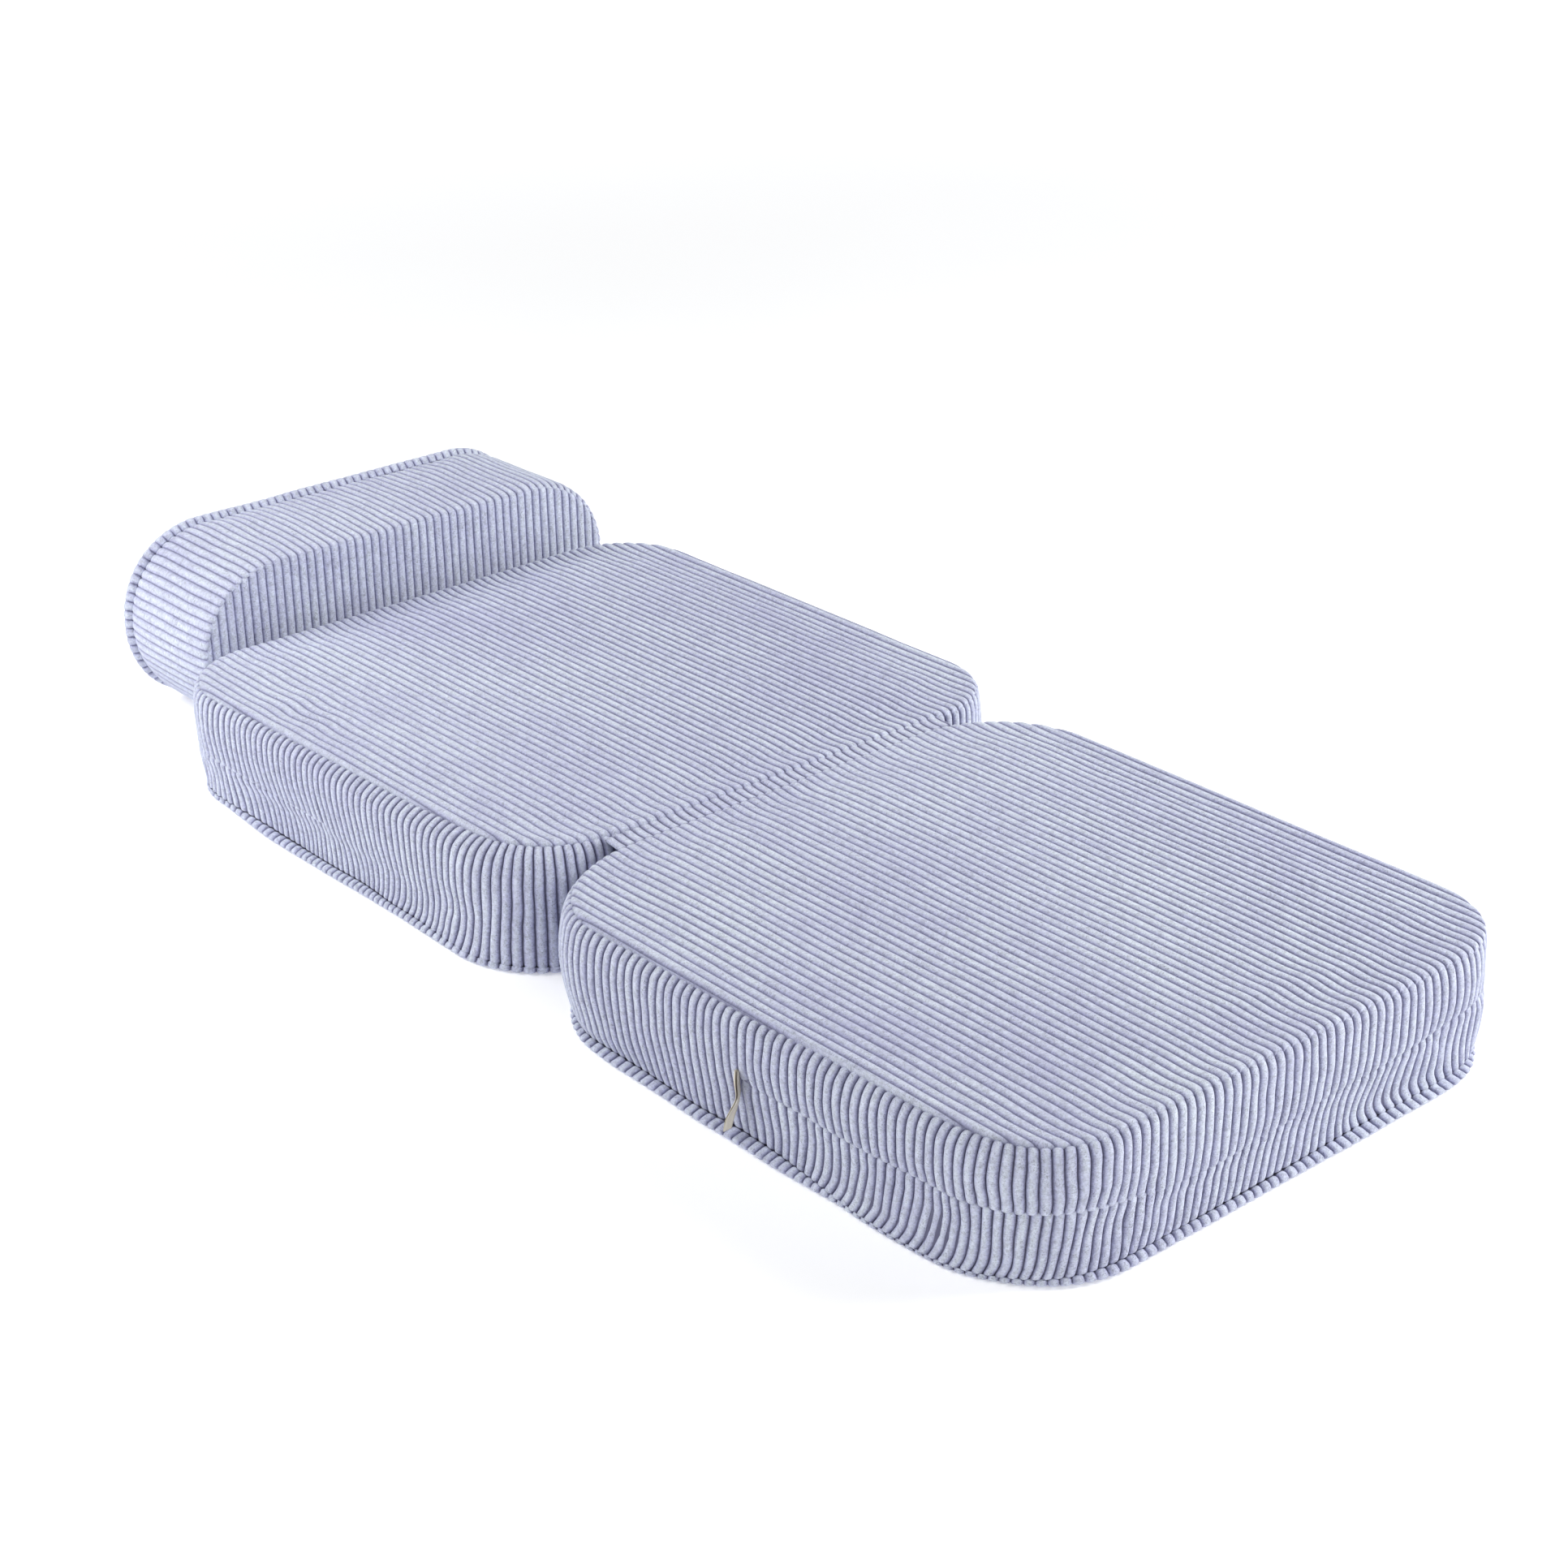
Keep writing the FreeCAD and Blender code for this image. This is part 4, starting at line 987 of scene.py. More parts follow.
    def crowned(p, q, d):
        if face is None:
            return tip(p, q, d)
        return tip(p, q, d) + face(p, q) * np.clip(d / 25.0, 0, 1)

    def crisp(p, q):
        a, b, c, d = g["crisp"]
        ahead = np.clip((p - g["cx"] - b * (q - g["cy"]) - c) / d, 0, 1)
        return a + (1 - a) * ahead + 0.12 * noise2(p / 60.0, q / 90.0, seed + 31)

    pieces["top"] = panel(prefix + "_top_panel_cloth", seam, g["cx"], crowned, same, seed=seed + 10, bend=bend,
                          dome=(deep, 3.2), depth=lambda p, q: 2.0 + 1.3 * np.clip(crisp(p, q), 0, 1.1),
                          soft=lambda p, q: 0.55 + 0.43 * np.clip(crisp(p, q), 0, 1.05))
    seam_low = np.stack([x - 2.0 * nx, y - 2.0 * ny], 1)
    pieces["bottom"] = panel(prefix + "_bottom_panel_cloth", seam_low, g["cx"], lambda p, q, d: -0.25 + 0 * p, below,
                             flip=True, middle=11.0, dome=(1.0, 3.0), seed=seed + 11)
    # foam and zip
    pieces["foam"] = lofted(prefix + "_foam_block", loop,
                            [(-14, 3.6), (-9.5, 4.4), (-7.5, 7), (-7.5, 14), (-9, 40), (-9, 80), (-9, 98), (-12, 105),
                             (-17, 108.5), (-24, 109.8)], same, seed=seed)
    pieces["zip"] = tape_band(prefix + "_zip_tape", loop, out, 5.0, level, zipped[0] + 3, zipped[1] - 3, same)
    return dict(loop=loop, out=out, start=start_s, join=join, pieces=pieces, level=level)


def tip_block(g, rolls, crown, wide):
    """Height of a block's top: rolls are (x, y, width, drop) of the edge, nearest one blended in."""
    at = np.array([(g["cx"] + r[0], g["cy"] + r[1]) for r in rolls])
    wd = np.array([r[2:] for r in rolls], float)

    def tip(p, q, d):
        k = np.exp(-(((p[..., None] - at[:, 0]) ** 2 + (q[..., None] - at[:, 1]) ** 2) / (2 * 90.0**2))) + 1e-9
        k = k / k.sum(-1, keepdims=True)
        edge, drop = (k * wd[:, 0]).sum(-1), (k * wd[:, 1]).sum(-1)
        roll = 1 - np.sqrt(np.clip(1 - np.clip(1 - d / edge, 0, 1) ** 2, 0, 1))
        return TALL - 0.15 - drop * roll - crown * np.exp(-d / wide)
    return tip


BASE["dent_deep"] = 4.5
BASE["notch"] = 1.5
# how crisp the grooves of the top are: at least, then across and along, from and over what distance
BASE["crisp"] = (0.45, 0.55, 40.0, 230.0)
SEAT["crisp"] = (0.30, 0.0, -200.0, 300.0)
BASE["sway"] = [(-293.5, -20, 1.4), (-293.5, -120, 2.0), (-266, -287, 1.0), (0, -314.5, 1.2), (150, -314.5, 1.6),
                (266, -287, 1.6), (293.5, -60, 1.6)]
SEAT["sway"] = [(-300, 60, 1.4), (-300, 150, 1.8), (-274, 278, 1.6), (0, 304.5, 1.4), (274, 278, 1.6), (300, 60, 1.4)]
# how far the lower strip's wales stand along from the upper strip's
BASE["slide"] = [(-293.5, 20, 0), (-293.5, 5, 0), (-293.5, -45, 3.5), (-293.5, -150, 4.5), (-270, -280, 4.0),
                 (-200, -314.5, 3.0), (-130, -314.5, 1.0), (-60, -314.5, 0.0), (100, -314.5, 0.5), (200, -314.5, 2.0),
                 (280, -270, 4.0), (293.5, -100, 5.0), (293.5, -30, 4.0), (293.5, 10, 0), (293.5, 20, 0)]
SEAT["slide"] = [(300, 15, 0), (300, 30, 0), (300, 80, 4.0), (0, 304.5, 5.0), (-274, 278, 4.0), (-300, 150, 5.0),
                 (-300, 70, 3.5), (-300, 30, 0), (-300, 15, 0)]
# how strongly the seam over the zip stands out, as a share
BASE["relief"] = [(-293.5, 13, 1.0), (-293.5, -150, 1.0), (-280, -258, 0.85), (-200, -314.5, 0.6), (-60, -314.5, 0.4),
                  (60, -314.5, 0.45), (120, -314.5, 1.2), (170, -314.5, 1.7), (266, -287, 1.9),
                  (293.5, -200, 1.4), (293.5, -100, 0.9), (293.5, 13, 1.0)]
SEAT["relief"] = [(-300, 20, 0.6), (-300, 150, 0.8), (0, 304.5, 0.9), (300, 150, 0.9), (300, 20, 0.9)]

BASE["zip_level"] = [(-293.5, 13, 57), (-293.5, -120, 57), (-293.5, -200, 60), (-280, -258, 62.5), (-255, -295, 62),
                     (-238, -303, 62), (-200, -314.5, 56.5), (-157, -314.5, 46), (-109, -314.5, 43.5),
                     (-75, -314.5, 43.5), (-55, -314.5, 45.5), (-15, -314.5, 46.5), (18, -314.5, 50), (57, -314.5, 53),
                     (98, -314.5, 52.5), (132, -314.5, 53.5), (154, -314.5, 55.5), (180, -314.5, 58),
                     (200, -314.5, 61), (216, -312, 63), (266, -287, 62), (293.5, -150, 58), (293.5, 13, 57)]
SEAT["zip_level"] = [(-300, 20, 48), (-300, 150, 47.5), (0, 304.5, 50), (300, 20, 51)]

BASE_ROWS = [
    (-293.5, 160, [-3.5, 1.5, 7, 8.8, 8.6, 8, 6, 3, 0.6], [0, 0, 0, 0, 0, 0, 1, 4, 8]),
    (-293.5, 115, [-5.2, -1, 5, 7.5, 7.2, 6.8, 5, 3, 2], [0, 0, 0, 0, 0, 0, 2, 5, 9]),
    (-293.5, 65, [-5, -0.5, 4.5, 6.2, 6.2, 6, 5, 4, 3.4], [0, 0, 0, 0, 0, 1, 3, 6, 9]),
    (-293.5, 5, [-3.5, 0.5, 4.2, 5.6, 5.2, 4, 2, 0.8, 0.6], [0, 0, 0, 0, 0, 2, 4, 7, 9]),
    (-293.5, -42, [-7, -2.5, 2.4, 4.8, 4.6, 3, 2.2, 2.5, 3], [0, 0, 0, 0, 1, 3, 5, 6, 6]),
    (-293.5, -72, [-9.5, -5, 0.8, 4, 4, 2.2, 1.8, 3.5, 6.5], [0, 0, 0, 0, 1, 3, 6, 6, 4]),
    (-293.5, -115, [-11.5, -6.5, -0.8, 3, 3.4, 1.5, 1.6, 5, 10], [0, 0, 0, 0, 1, 3, 5, 5, 2]),
    (-293.5, -165, [-9, -4.6, 0, 2.2, 2.2, 0.5, 0.8, 4.8, 10.5], [0, 0, 0, 0, 0, 2, 4, 3, 0]),
    (-293.5, -205, [-12.5, -7.5, -3, 0, 0.6, -0.5, 0.3, 4.5, 10], [0, 0, 0, 0, 0, 2, 4, 3, 0]),
    (-290, -238, [-17, -10, -4, 0, 0.6, 0, 0.3, 3.2, 6], [0, 0, 0, 0, 0, 1, 2, 1, -2]),
    (-276, -268, [-13, -7.5, -2.8, 0.4, 1.2, 0.5, 0.2, 1.6, 2.4], [0, 0, 0, 0, 1, 0, 0, -2, -6]),
    (-250, -297, [-7, -3, 0.4, 1.2, 1.4, 0.4, 0.6, 2.8, 4.6], [0, 0, 0, 0, 0, -1, -4, -8, -12]),
    (-205, -314.5, [-6, -2, 0.8, 1.2, 1.0, 0, 0.5, 3, 5], [0, 0, 0, 0, 0, -3, -9, -14, -18]),
    (-100, -314.5, [-5.5, -1.8, 0.6, 1, 0.8, 0, 1.5, 4, 5.9], [0, 0, 0, 0, 0, -3, -9, -15, -20]),
    (-45, -314.5, [-5, -1.8, 0.6, 1, 0.8, 0, 1.5, 4, 5.6], [0, 0, 0, 0, 0, -3, -9, -15, -20]),
    (12, -314.5, [-4.5, -1.5, 0.6, 1.2, 1, -0.3, 0.3, 1.8, 2.9], [0, 0, 0, 0, 0, -3, -9, -15, -20]),
    (60, -314.5, [-4, -1.5, 0.6, 1.2, 1, -0.5, -1, -1, 0.8], [0, 0, 0, 0, 0, -2, -8, -14, -16]),
    (120, -314.5, [-4.6, -2, 0.2, 1.3, 1.2, -0.5, -2, -3, 0.4], [0, 0, 0, 0, 0, -2, -8, -13, -9]),
    (170, -314.5, [-5, -2.3, 0, 1.6, 2.0, 0, -1.6, -3, -0.3], [0, 0, 0, 0, 0, -1, -5, -9, -5]),
    (215, -312, [-5, -2.6, 0, 2.0, 2.4, 1.0, -1.0, -2.6, -2.6], [0, 0, 0, 1, 0, 0, -1, -2, 1]),
    (266, -287, [2.5, 3.4, 4, 3.6, 3.6, 4.4, 5.4, 3.2, 0.3], [0, 0, 0, 0, 0, 0, -2, -3, 0]),
    (293.5, -200, [3.5, 5, 6.5, 6.2, 6, 6.5, 6, 4, 2], [0] * 9),
    (293.5, -100, [1.5, 4, 6.5, 7, 5.5, 3.5, 4, 4, 2.5], [0] * 9),
    (293.5, 100, [1.5, 4, 6.5, 7, 6, 5, 4.5, 3.5, 2], [0] * 9),
    (261, 282, [1.5, 4, 6, 6.5, 6, 5, 4, 2.5, 1], [0] * 9),
    (0, 314.5, [-1, 0.3, 1.2, 1.5, 1.5, 1.5, 1, 0.5, 0], [0] * 9),
    (-172, 314.5, [-1, 1, 2.5, 3, 3, 3, 2.5, 2, 1], [0] * 9),
    (-225, 304, [-5.5, -3, -0.5, 3, 5.5, 6.5, 5.5, 3, -1], [0] * 9),
    (-261, 282, [-3, 1, 4.5, 8, 10, 10.5, 9, 5, 0], [0, 0, 0, 0, 0, 1, 2, 3, 4]),
    (-290, 235, [-2, 3, 8, 10.5, 11, 10.5, 8.5, 4, -0.5], [0, 0, 0, 0, 0, 0, 1, 4, 7]),
]
BASE_WELT = [(-293.5, 215, 7.0), (-293.5, 186, 10.4), (-293.5, 131, 11.4), (-293.5, 97, 11.3), (-293.5, 55, 13.6),
             (-293.5, 15, 12.0), (-293.5, -34, 13.2), (-293.5, -73, 12), (-293.5, -110, 10.8), (-293.5, -165, 8),
             (-276, -268, 3.2), (-250, -297, 7.5), (-205, -314.5, 11.0), (-96, -314.5, 11.4), (-35, -314.5, 10.2),
             (41, -314.5, 10.4), (73, -314.5, 11.2), (123, -314.5, 9.6), (171, -314.5, 10.0), (197, -314.5, 8.6),
             (219, -311, 5.0), (240, -305, 2.6), (266, -287, 0.0), (293.5, -200, 1.0), (293.5, -100, 6.0),
             (293.5, 0, 8.5), (261, 282, 8.0), (0, 314.5, 8.0), (-200, 312, 3.0), (-261, 282, 2.5), (-287, 245, 4.0)]
# depth of the top seam, depth of the welt's crease, level of the top seam and of the bottom one
BASE_EDGE = [(-293.5, 200, 1.8, 0.8, 115.2, 7.0), (-293.5, 100, 2.0, 1.2, 115.2, 7.5), (-293.5, -20, 2.0, 1.0, 115.2, 8.0),
             (-293.5, -80, 2.2, 0.9, 115.0, 7.5), (-293.5, -120, 2.2, 0.3, 115.0, 4.5), (-293.5, -215, 2.0, 0.3, 115.0, 4.2),
             (-266, -287, 2.4, 0.6, 115.6, 6.0), (-200, -314.5, 2.8, 1.0, 117.6, 8.5), (-100, -314.5, 2.4, 1.2, 117.0, 9.5),
             (0, -314.5, 1.6, 1.0, 115.5, 9.0), (60, -314.5, 1.1, 0.6, 114.6, 8.0), (150, -314.5, 0.9, 0.2, 114.0, 6.5),
             (230, -308, 1.8, 0.2, 113.6, 6.0), (280, -270, 2.4, 0.2, 114.2, 6.5), (293.5, 0, 1.9, 1.4, 115.2, 9.0),
             (261, 282, 1.6, 1.2, 115.2, 9.0), (0, 314.5, 1.0, 1.2, 115.4, 9.0), (-240, 300, 1.6, 0.6, 115.2, 6.0)]
BASE_ROLL = [(-293, 100, 9, 3.4), (-293, -100, 9, 3.6), (-262, -285, 8, 3.0), (-200, -314, 8, 1.2), (-130, -314, 9, 1.6),
             (-50, -314, 11, 2.6), (30, -314, 13, 3.9), (90, -314, 18, 4.6), (150, -314, 23, 4.9), (215, -311, 23, 5.2),
             (265, -288, 18, 5.0), (293, -150, 11, 3.8), (293, 100, 9, 3.4), (250, 290, 9, 3.2), (0, 314, 8, 2.9),
             (-250, 290, 9, 3.2)]

SEAT_ROWS = [
    (-300, 205, [1.5, 6, 9.5, 10.5, 10, 8, 6.5, 6, 6.6], [0, 0, 0, 0, 0, 2, 6, 9, 11]),
    (-300, 152, [-2, 4, 8.5, 9.5, 8.8, 6.5, 5, 5, 6], [0, 0, 0, 0, 1, 5, 14, 21, 25]),
    (-300, 95, [-4.5, 2, 8, 9.5, 8.6, 6.2, 5, 5.2, 6.4], [0, 0, 0, 0, 2, 8, 17, 24, 28]),
    (-300, 42, [-5.6, 1.5, 8, 9.5, 8.8, 6.5, 5.4, 6, 7.5], [0, 0, 0, 1, 4, 9, 15, 20, 23]),
    (-300, -5, [-6.5, 0.5, 7.8, 10, 9, 6.6, 5.5, 6.4, 7.8], [0, 0, 0, 1, 4, 7, 11, 15, 17]),
    (-300, -45, [-7.5, -0.5, 7.5, 10, 9, 7, 5, 4.5, 5.4], [0, 0, 0, 1, 3, 6, 9, 12, 13]),
    (-300, -100, [-8, -1, 7, 9.5, 9, 7.5, 7.2, 8.8, 10.2], [0, 0, 0, 1, 2, 5, 8, 6, 1]),
    (-300, -136, [-10.5, -3, 6, 9, 9, 7.5, 6.8, 6.8, 8.2], [0, 0, 0, 1, 2, 4, 6, 3, -4]),
    (-300, -170, [-12.5, -4.5, 4.5, 8.5, 9, 7.5, 6.8, 8, 10.5], [0, 0, 0, 0, 1, 2, 3, 0, -5]),
    (-299, -208, [-17, -9, 0.5, 6, 8.5, 8.5, 9, 10.8, 12.8], [0, 0, 0, 0, 0, 1, 1, -1, -3]),
    (-288, -247, [-19, -12, -4, 2, 6, 8.2, 10, 12, 13.6], [0] * 9),
    (-264, -282, [-16, -9.5, -3, 2, 5.5, 8.2, 10.2, 12.6, 15], [0] * 9),
    (-225, -303, [-12.5, -7, -2, 1, 3.5, 6, 8.5, 11, 13.5], [0] * 9),
    (-175, -304.5, [-3, -1.5, 0, 1.5, 2.5, 3, 3, 3, 3], [0] * 9),
    (0, -304.5, [-1, 0.3, 1.2, 1.5, 1.5, 1.5, 1, 0.5, 0], [0] * 9),
    (274, -278, [2, 4.5, 6, 7, 7, 6.5, 5, 3, 2], [0] * 9),
    (300, -100, [0.5, 3, 5.5, 6.2, 5.5, 4.5, 4, 3, 1.5], [0] * 9),
    (300, 100, [0.5, 3, 5.5, 6.2, 5, 3.5, 4, 4, 2], [0] * 9),
    (274, 278, [2, 3.5, 5, 5.6, 5, 3.5, 3.5, 3, 2], [0] * 9),
    (0, 304.5, [-1, 0.3, 1.2, 1.5, 1, 0.3, 1, 1, 0.5], [0] * 9),
    (-180, 304.5, [0, 2, 4, 4.5, 4, 3, 2.5, 2, 1], [0] * 9),
    (-274, 278, [3, 6.5, 9.8, 11, 10.6, 9.6, 8.6, 6.5, 4.5], [0, 0, 0, 0, 0, 0, 1, 2, 2]),
]
SEAT_WELT = [(-300, 191, 8.5), (-300, 122, 15.2), (-300, 59, 15.4), (-300, -7, 15.4), (-300, -52, 13.8), (-300, -105, 13.3),
             (-300, -140, 13.4), (-300, -178, 15.2), (-299, -212, 15.6), (-288, -247, 15.8), (-264, -282, 16.6),
             (-225, -303, 14.6), (-175, -304.5, 7.0), (0, -304.5, 8.0), (274, -278, 8.0), (300, 0, 9.0), (274, 278, 8.0),
             (0, 304.5, 8.0), (-240, 300, 4.0), (-274, 278, 4.5), (-297, 236, 6.0)]
SEAT_EDGE = [(-300, 216, 1.8, 1.0, 115.2, 7.5), (-300, 100, 1.8, 1.4, 115.0, 8.0), (-300, -60, 2.0, 1.4, 114.8, 8.5),
             (-300, -110, 2.0, 0.8, 114.8, 8.0), (-300, -150, 2.0, 0.5, 114.6, 7.0),
             (-300, -215, 2.0, 0.15, 114.4, 7.0), (-264, -282, 2.0, 0.12, 114.6, 7.0), (-200, -304.5, 1.6, 0.4, 115.2, 8.0),
             (0, -304.5, 1.0, 1.2, 115.4, 9.0),
             (274, -278, 1.4, 1.2, 115.2, 9.0), (300, 0, 1.9, 1.4, 115.2, 9.0), (274, 278, 1.4, 1.2, 115.2, 9.0),
             (0, 304.5, 1.0, 1.3, 115.0, 9.0), (-274, 278, 1.6, 0.6, 115.2, 7.0)]
SEAT_ROLL = [(-300, 200, 9, 3.2), (-300, 0, 10, 3.8), (-300, -150, 11, 4.2), (-285, -250, 11, 4.4), (-250, -292, 10, 4.2),
             (-180, -304, 8, 3.2), (0, -304, 8, 2.9), (274, -278, 9, 3.2), (300, 0, 9, 3.4), (274, 278, 9, 3.2),
             (0, 304, 9, 3.4), (-274, 278, 9, 3.2)]


def base_bend(p, q):
    """Sideways waves in the base's top wales near the foot's far corner."""
    x, y = p - BASE["cx"], q - (BASE["cy"] - 314.5)
    far = np.exp(-(((x - 60) / 75.0) ** 2)) * np.exp(-(((y - 62) / 34.0) ** 2))
    return 1.6 * far * np.sin(y / 10.5 + x / 46.0) + 1.0 * noise2(p / 120.0, q / 130.0, 77)


def seat_bend(p, q):
    x, y = p - SEAT["cx"], q - SEAT["cy"]
    near = np.exp(-(((x + 255) / 40.0) ** 2)) * np.exp(-(((y - 120) / 70.0) ** 2))
    return 1.8 * near * np.sin(y / 12.0 + x / 50.0) + 1.0 * noise2(p / 120.0, q / 130.0, 78)


base = cover("base", BASE, 13.0, True, BASE_ROWS, BASE_WELT, BASE_EDGE, tip_block(BASE, BASE_ROLL, 0.9, 70.0), 11,
             base_bend)
seat = cover("seat", SEAT, 20.0, False, SEAT_ROWS, SEAT_WELT, SEAT_EDGE, tip_block(SEAT, SEAT_ROLL, 1.0, 70.0),
             31, seat_bend)


def give_block(prefix, body, pieces):
    for key, node, pad in (("plain", "plain_boxing", 0.9), ("upper", "zip_boxing_upper", 0.9),
                           ("lower", "zip_boxing_lower", 0.9), ("welt", "welt", 0.7), ("top", "top_panel", 0.95),
                           ("bottom", "bottom_panel", 0.9)):
        dress(pieces[key], CORD, body, [prefix + "_" + node])
    dress(pieces["foam"], FOAM, body, [prefix + "_foam_core"])
    dress(pieces["zip"], TAPE, body, [prefix + "_zip"])


give_block("base", "base", base["pieces"])
give_block("seat", "seat", seat["pieces"])


# ------------------------------------------------------------------ the bolster
def bolster():
    x0, x1 = BOL["cx"] - BOL["w"] / 2, BOL["cx"] + BOL["w"] / 2
    r, h = BOL["r"], BOL["h"]
    loop = Loop(*rounded_rect(x0, x1, 0.0, h, r, r), (x0 + r, 0.0))
    S, pitch = loop.length, loop.pitch
    yf = BOL["y"]
    side, face = swelling("bolster", loop, yf + 0.5, yf + BOL["deep"] - 0.5)

    def even(values):
        made = Stations(loop, [], 0.0)
        made.grid = loop.even
        made.table = np.array(values, float)[:, None] + np.zeros(len(loop.even))
        return made

    level = even(np.array([0.9, 3.6, 10.5, 27.5, 77.5, 127.5, 145.5, 152.5, 155.4]) + yf)
    under = [-3, -1.6, -0.6, -0.35, -0.35, -0.35, -0.35, -0.6, -1.0]
    rows = [
        (BOL["cx"], h, [-3.5, -1, 0.5, 1.5, 2.5, 2, 0.3, -1.2, -2.2]),
        (x0 + r, h, [-3.5, -1, 0.5, 1.5, 2.5, 2, 0.3, -1.2, -2.2]),
        (x0 + 27, h - 27, [-3.8, -1, 0.5, 2, 3, 2, 0.3, -1.2, -2.2]),
        (x0, h / 2, [-4, -1, 0.5, 2, 3.5, 2.5, 0.8, -1, -2.2]),
        (x0 + 27, 27, [-4, -1, 0.5, 1.5, 2.5, 1.5, -0.5, -2, -3]),
        (x0 + r, 0, under), (BOL["cx"], 0, under), (x1 - r, 0, under),
        (x1 - 27, 27, [-2, 1, 3, 4, 4, 3, 0.8, -1.5, -3.5]),
        (x1, h / 2, [-0.5, 2.5, 5, 6.5, 6.5, 5, 2, -1, -4]),
        (x1 - 27, h - 27, [-1.5, 1.5, 4, 5, 5, 4, 1.5, -1.5, -4]),
        (x1 - r, h, [-3.5, -1, 0.8, 2, 2.5, 2, 0, -2.5, -4.5]),
    ]
    out = Stations(loop, [(loop.find(a, b), c) for a, b, c in rows], 12.0)
    zero = even([0] * 9)
    top_mid = loop.find(BOL["cx"], h)
    phase0 = top_mid + (loop.at(np.array([top_mid]))[0][0] - BOL["cx"])
    start, join = to_groove(0.0, phase0, pitch), to_groove(loop.find(x1, h / 2), phase0, pitch)
    t_all = [0, 0.12, 0.3, 0.52, 0.78, 1.05, 1.35, 1.7, 2.05, 2.4, 2.8, 3.15, 3.5, 3.8, 4.1, 4.4, 4.7, 5.0, 5.35, 5.7,
             6.1, 6.5, 6.85, 7.15, 7.4, 7.62, 7.8, 7.92, 8]

    def above_floor(s, rr):
        x, y, nx, ny = loop.at(s)
        return np.minimum(rr, np.where(ny < -0.2, (y - 0.35) / np.maximum(-ny, 0.2), 1e3))

    kit = dict(place=stood_up, phase0=phase0, limit=above_floor, wave=0.4)
    puff = None if side is None else (lambda a, b: side(a, b) * np.clip(1 - np.abs(b - yf - 83.5) / 83.5, 0, 1) ** 0.5)
    kit_band = dict(kit, puffed=puff)
    p = {}
    soft = Stations(loop, [(loop.find(a, b), [c]) for a, b, c in
                           ((x1, h / 2, 3.0), (x1 - r, h, 2.8), (BOL["cx"], h, 2.6), (x0 + r, h, 2.3), (x0 + 27, h - 27, 1.7),
                            (x0, h / 2, 1.3), (x0 + 27, 27, 1.9), (x0 + r, 0, 2.6), (x1 - r, 0, 3.0))], 25.0)
    p["plain"] = band("bolster_plain_band_cloth", loop, out, zero, level, join, start + S, t_all, top=(0.7, 4.0),
                      bottom=(0.5, 3.0), seed=51, depth=soft, **kit_band)
    t_front = [t for t in t_all if t < 4.0] + [4.02, 4.06, 4.09, 4.11]
    t_rear = [4.10, 4.12, 4.16, 4.22] + [t for t in t_all if t > 4.3]
    p["zip_front"] = band("bolster_zip_band_front_cloth", loop, out, zero, level, start, join, t_front, top=(0.7, 4.0),
                          bottom=(2.0, 4.0), seed=52, **kit_band)
    p["zip_rear"] = band("bolster_zip_band_rear_cloth", loop, out, zero, level, start, join, t_rear, top=(2.0, 4.0),
                         bottom=(1.0, 3.5), seed=53, **kit_band)
    w = 3.5
    full = [-2.6, -0.2, 2.6, w, w - 0.6, w - 3.6, w - 10.0]
    low = [-2.5, -0.8, -0.5, -0.5, -0.7, -1.8, -5.0]
    ws = Stations(loop, [(loop.find(a, b), full) for a, b in
                         ((BOL["cx"], h), (x0, h / 2), (x1, h / 2), (x0 + r, h), (x1 - r, h), (x0 + 27, 27), (x1 - 27, 27))]
                  + [(loop.find(a, 0), low) for a in (x0 + r + 30, BOL["cx"], x1 - r - 30)], 14.0)
    p["welt"] = band("bolster_welt_cloth", loop, ws, even([0] * 7),
                     even(np.array([154.6, 156.2, 158.8, 161.8, 164.4, 166.1, 166.7]) + yf), start, start + S,
                     [0, 0.3, 0.65, 1.05, 1.5, 2.0, 2.6, 3.2, 3.8, 4.4, 5.0, 5.5, 6.0], top=(0.6, 2.2),
                     bottom=(0.2, 2.0), wall=1.0, seed=54, depth=2.2, closed=True,
                     depths=([0, 1.6, 2.4, 3.0, 3.6, 4.4, 6], [1, 1, 0.7, 0.3, 0.35, 0.8, 0.8]), **kit)
    s = np.linspace(0, S, 1400, endpoint=False)
    x, y, nx, ny = loop.at(s)
    rr = out.at(s)[0] + 0.4
    seam = np.stack([x + nx * rr, y + ny * rr], 1)

    def tip_front(a, b, d):
        roll = 1 - np.sqrt(np.clip(1 - np.clip(1 - d / 9.0, 0, 1) ** 2, 0, 1))
        return -(yf + 0.1) - 2.4 * roll

    p["front"] = panel("bolster_front_panel_cloth", seam, BOL["cx"], tip_front, front, middle=9.0, dome=(0.7, 3.5),
                       seed=61, wobble=0.3, depth=2.3, soft=0.60)
    seam_b = np.stack([x - 4.0 * nx, y - 4.0 * ny], 1)
    p["back"] = panel("bolster_back_panel_cloth", seam_b, BOL["cx"],
                      lambda a, b, d: yf + BOL["deep"] - 0.1 - 1.5 * np.exp(-d / 6.0), back, flip=True, middle=11.0,
                      dome=(1.6, 3.5), seed=62, wobble=0.3)
    p["foam"] = lofted("bolster_foam_block", loop,
                       [(-18, yf + 5), (-11, yf + 6), (-9, yf + 9), (-8, yf + 18), (-8, yf + 60), (-8, yf + 110),
                        (-9, yf + 145), (-11, yf + 156), (-15, yf + 160), (-22, yf + 162)], stood_up, seed=51)
    p["zip"] = tape_band("bolster_zip_tape", loop, out, 4.11, level, start + 3, join - 3, stood_up, sign=1.0)
    return dict(loop=loop, out=out, join=join, pieces=p)


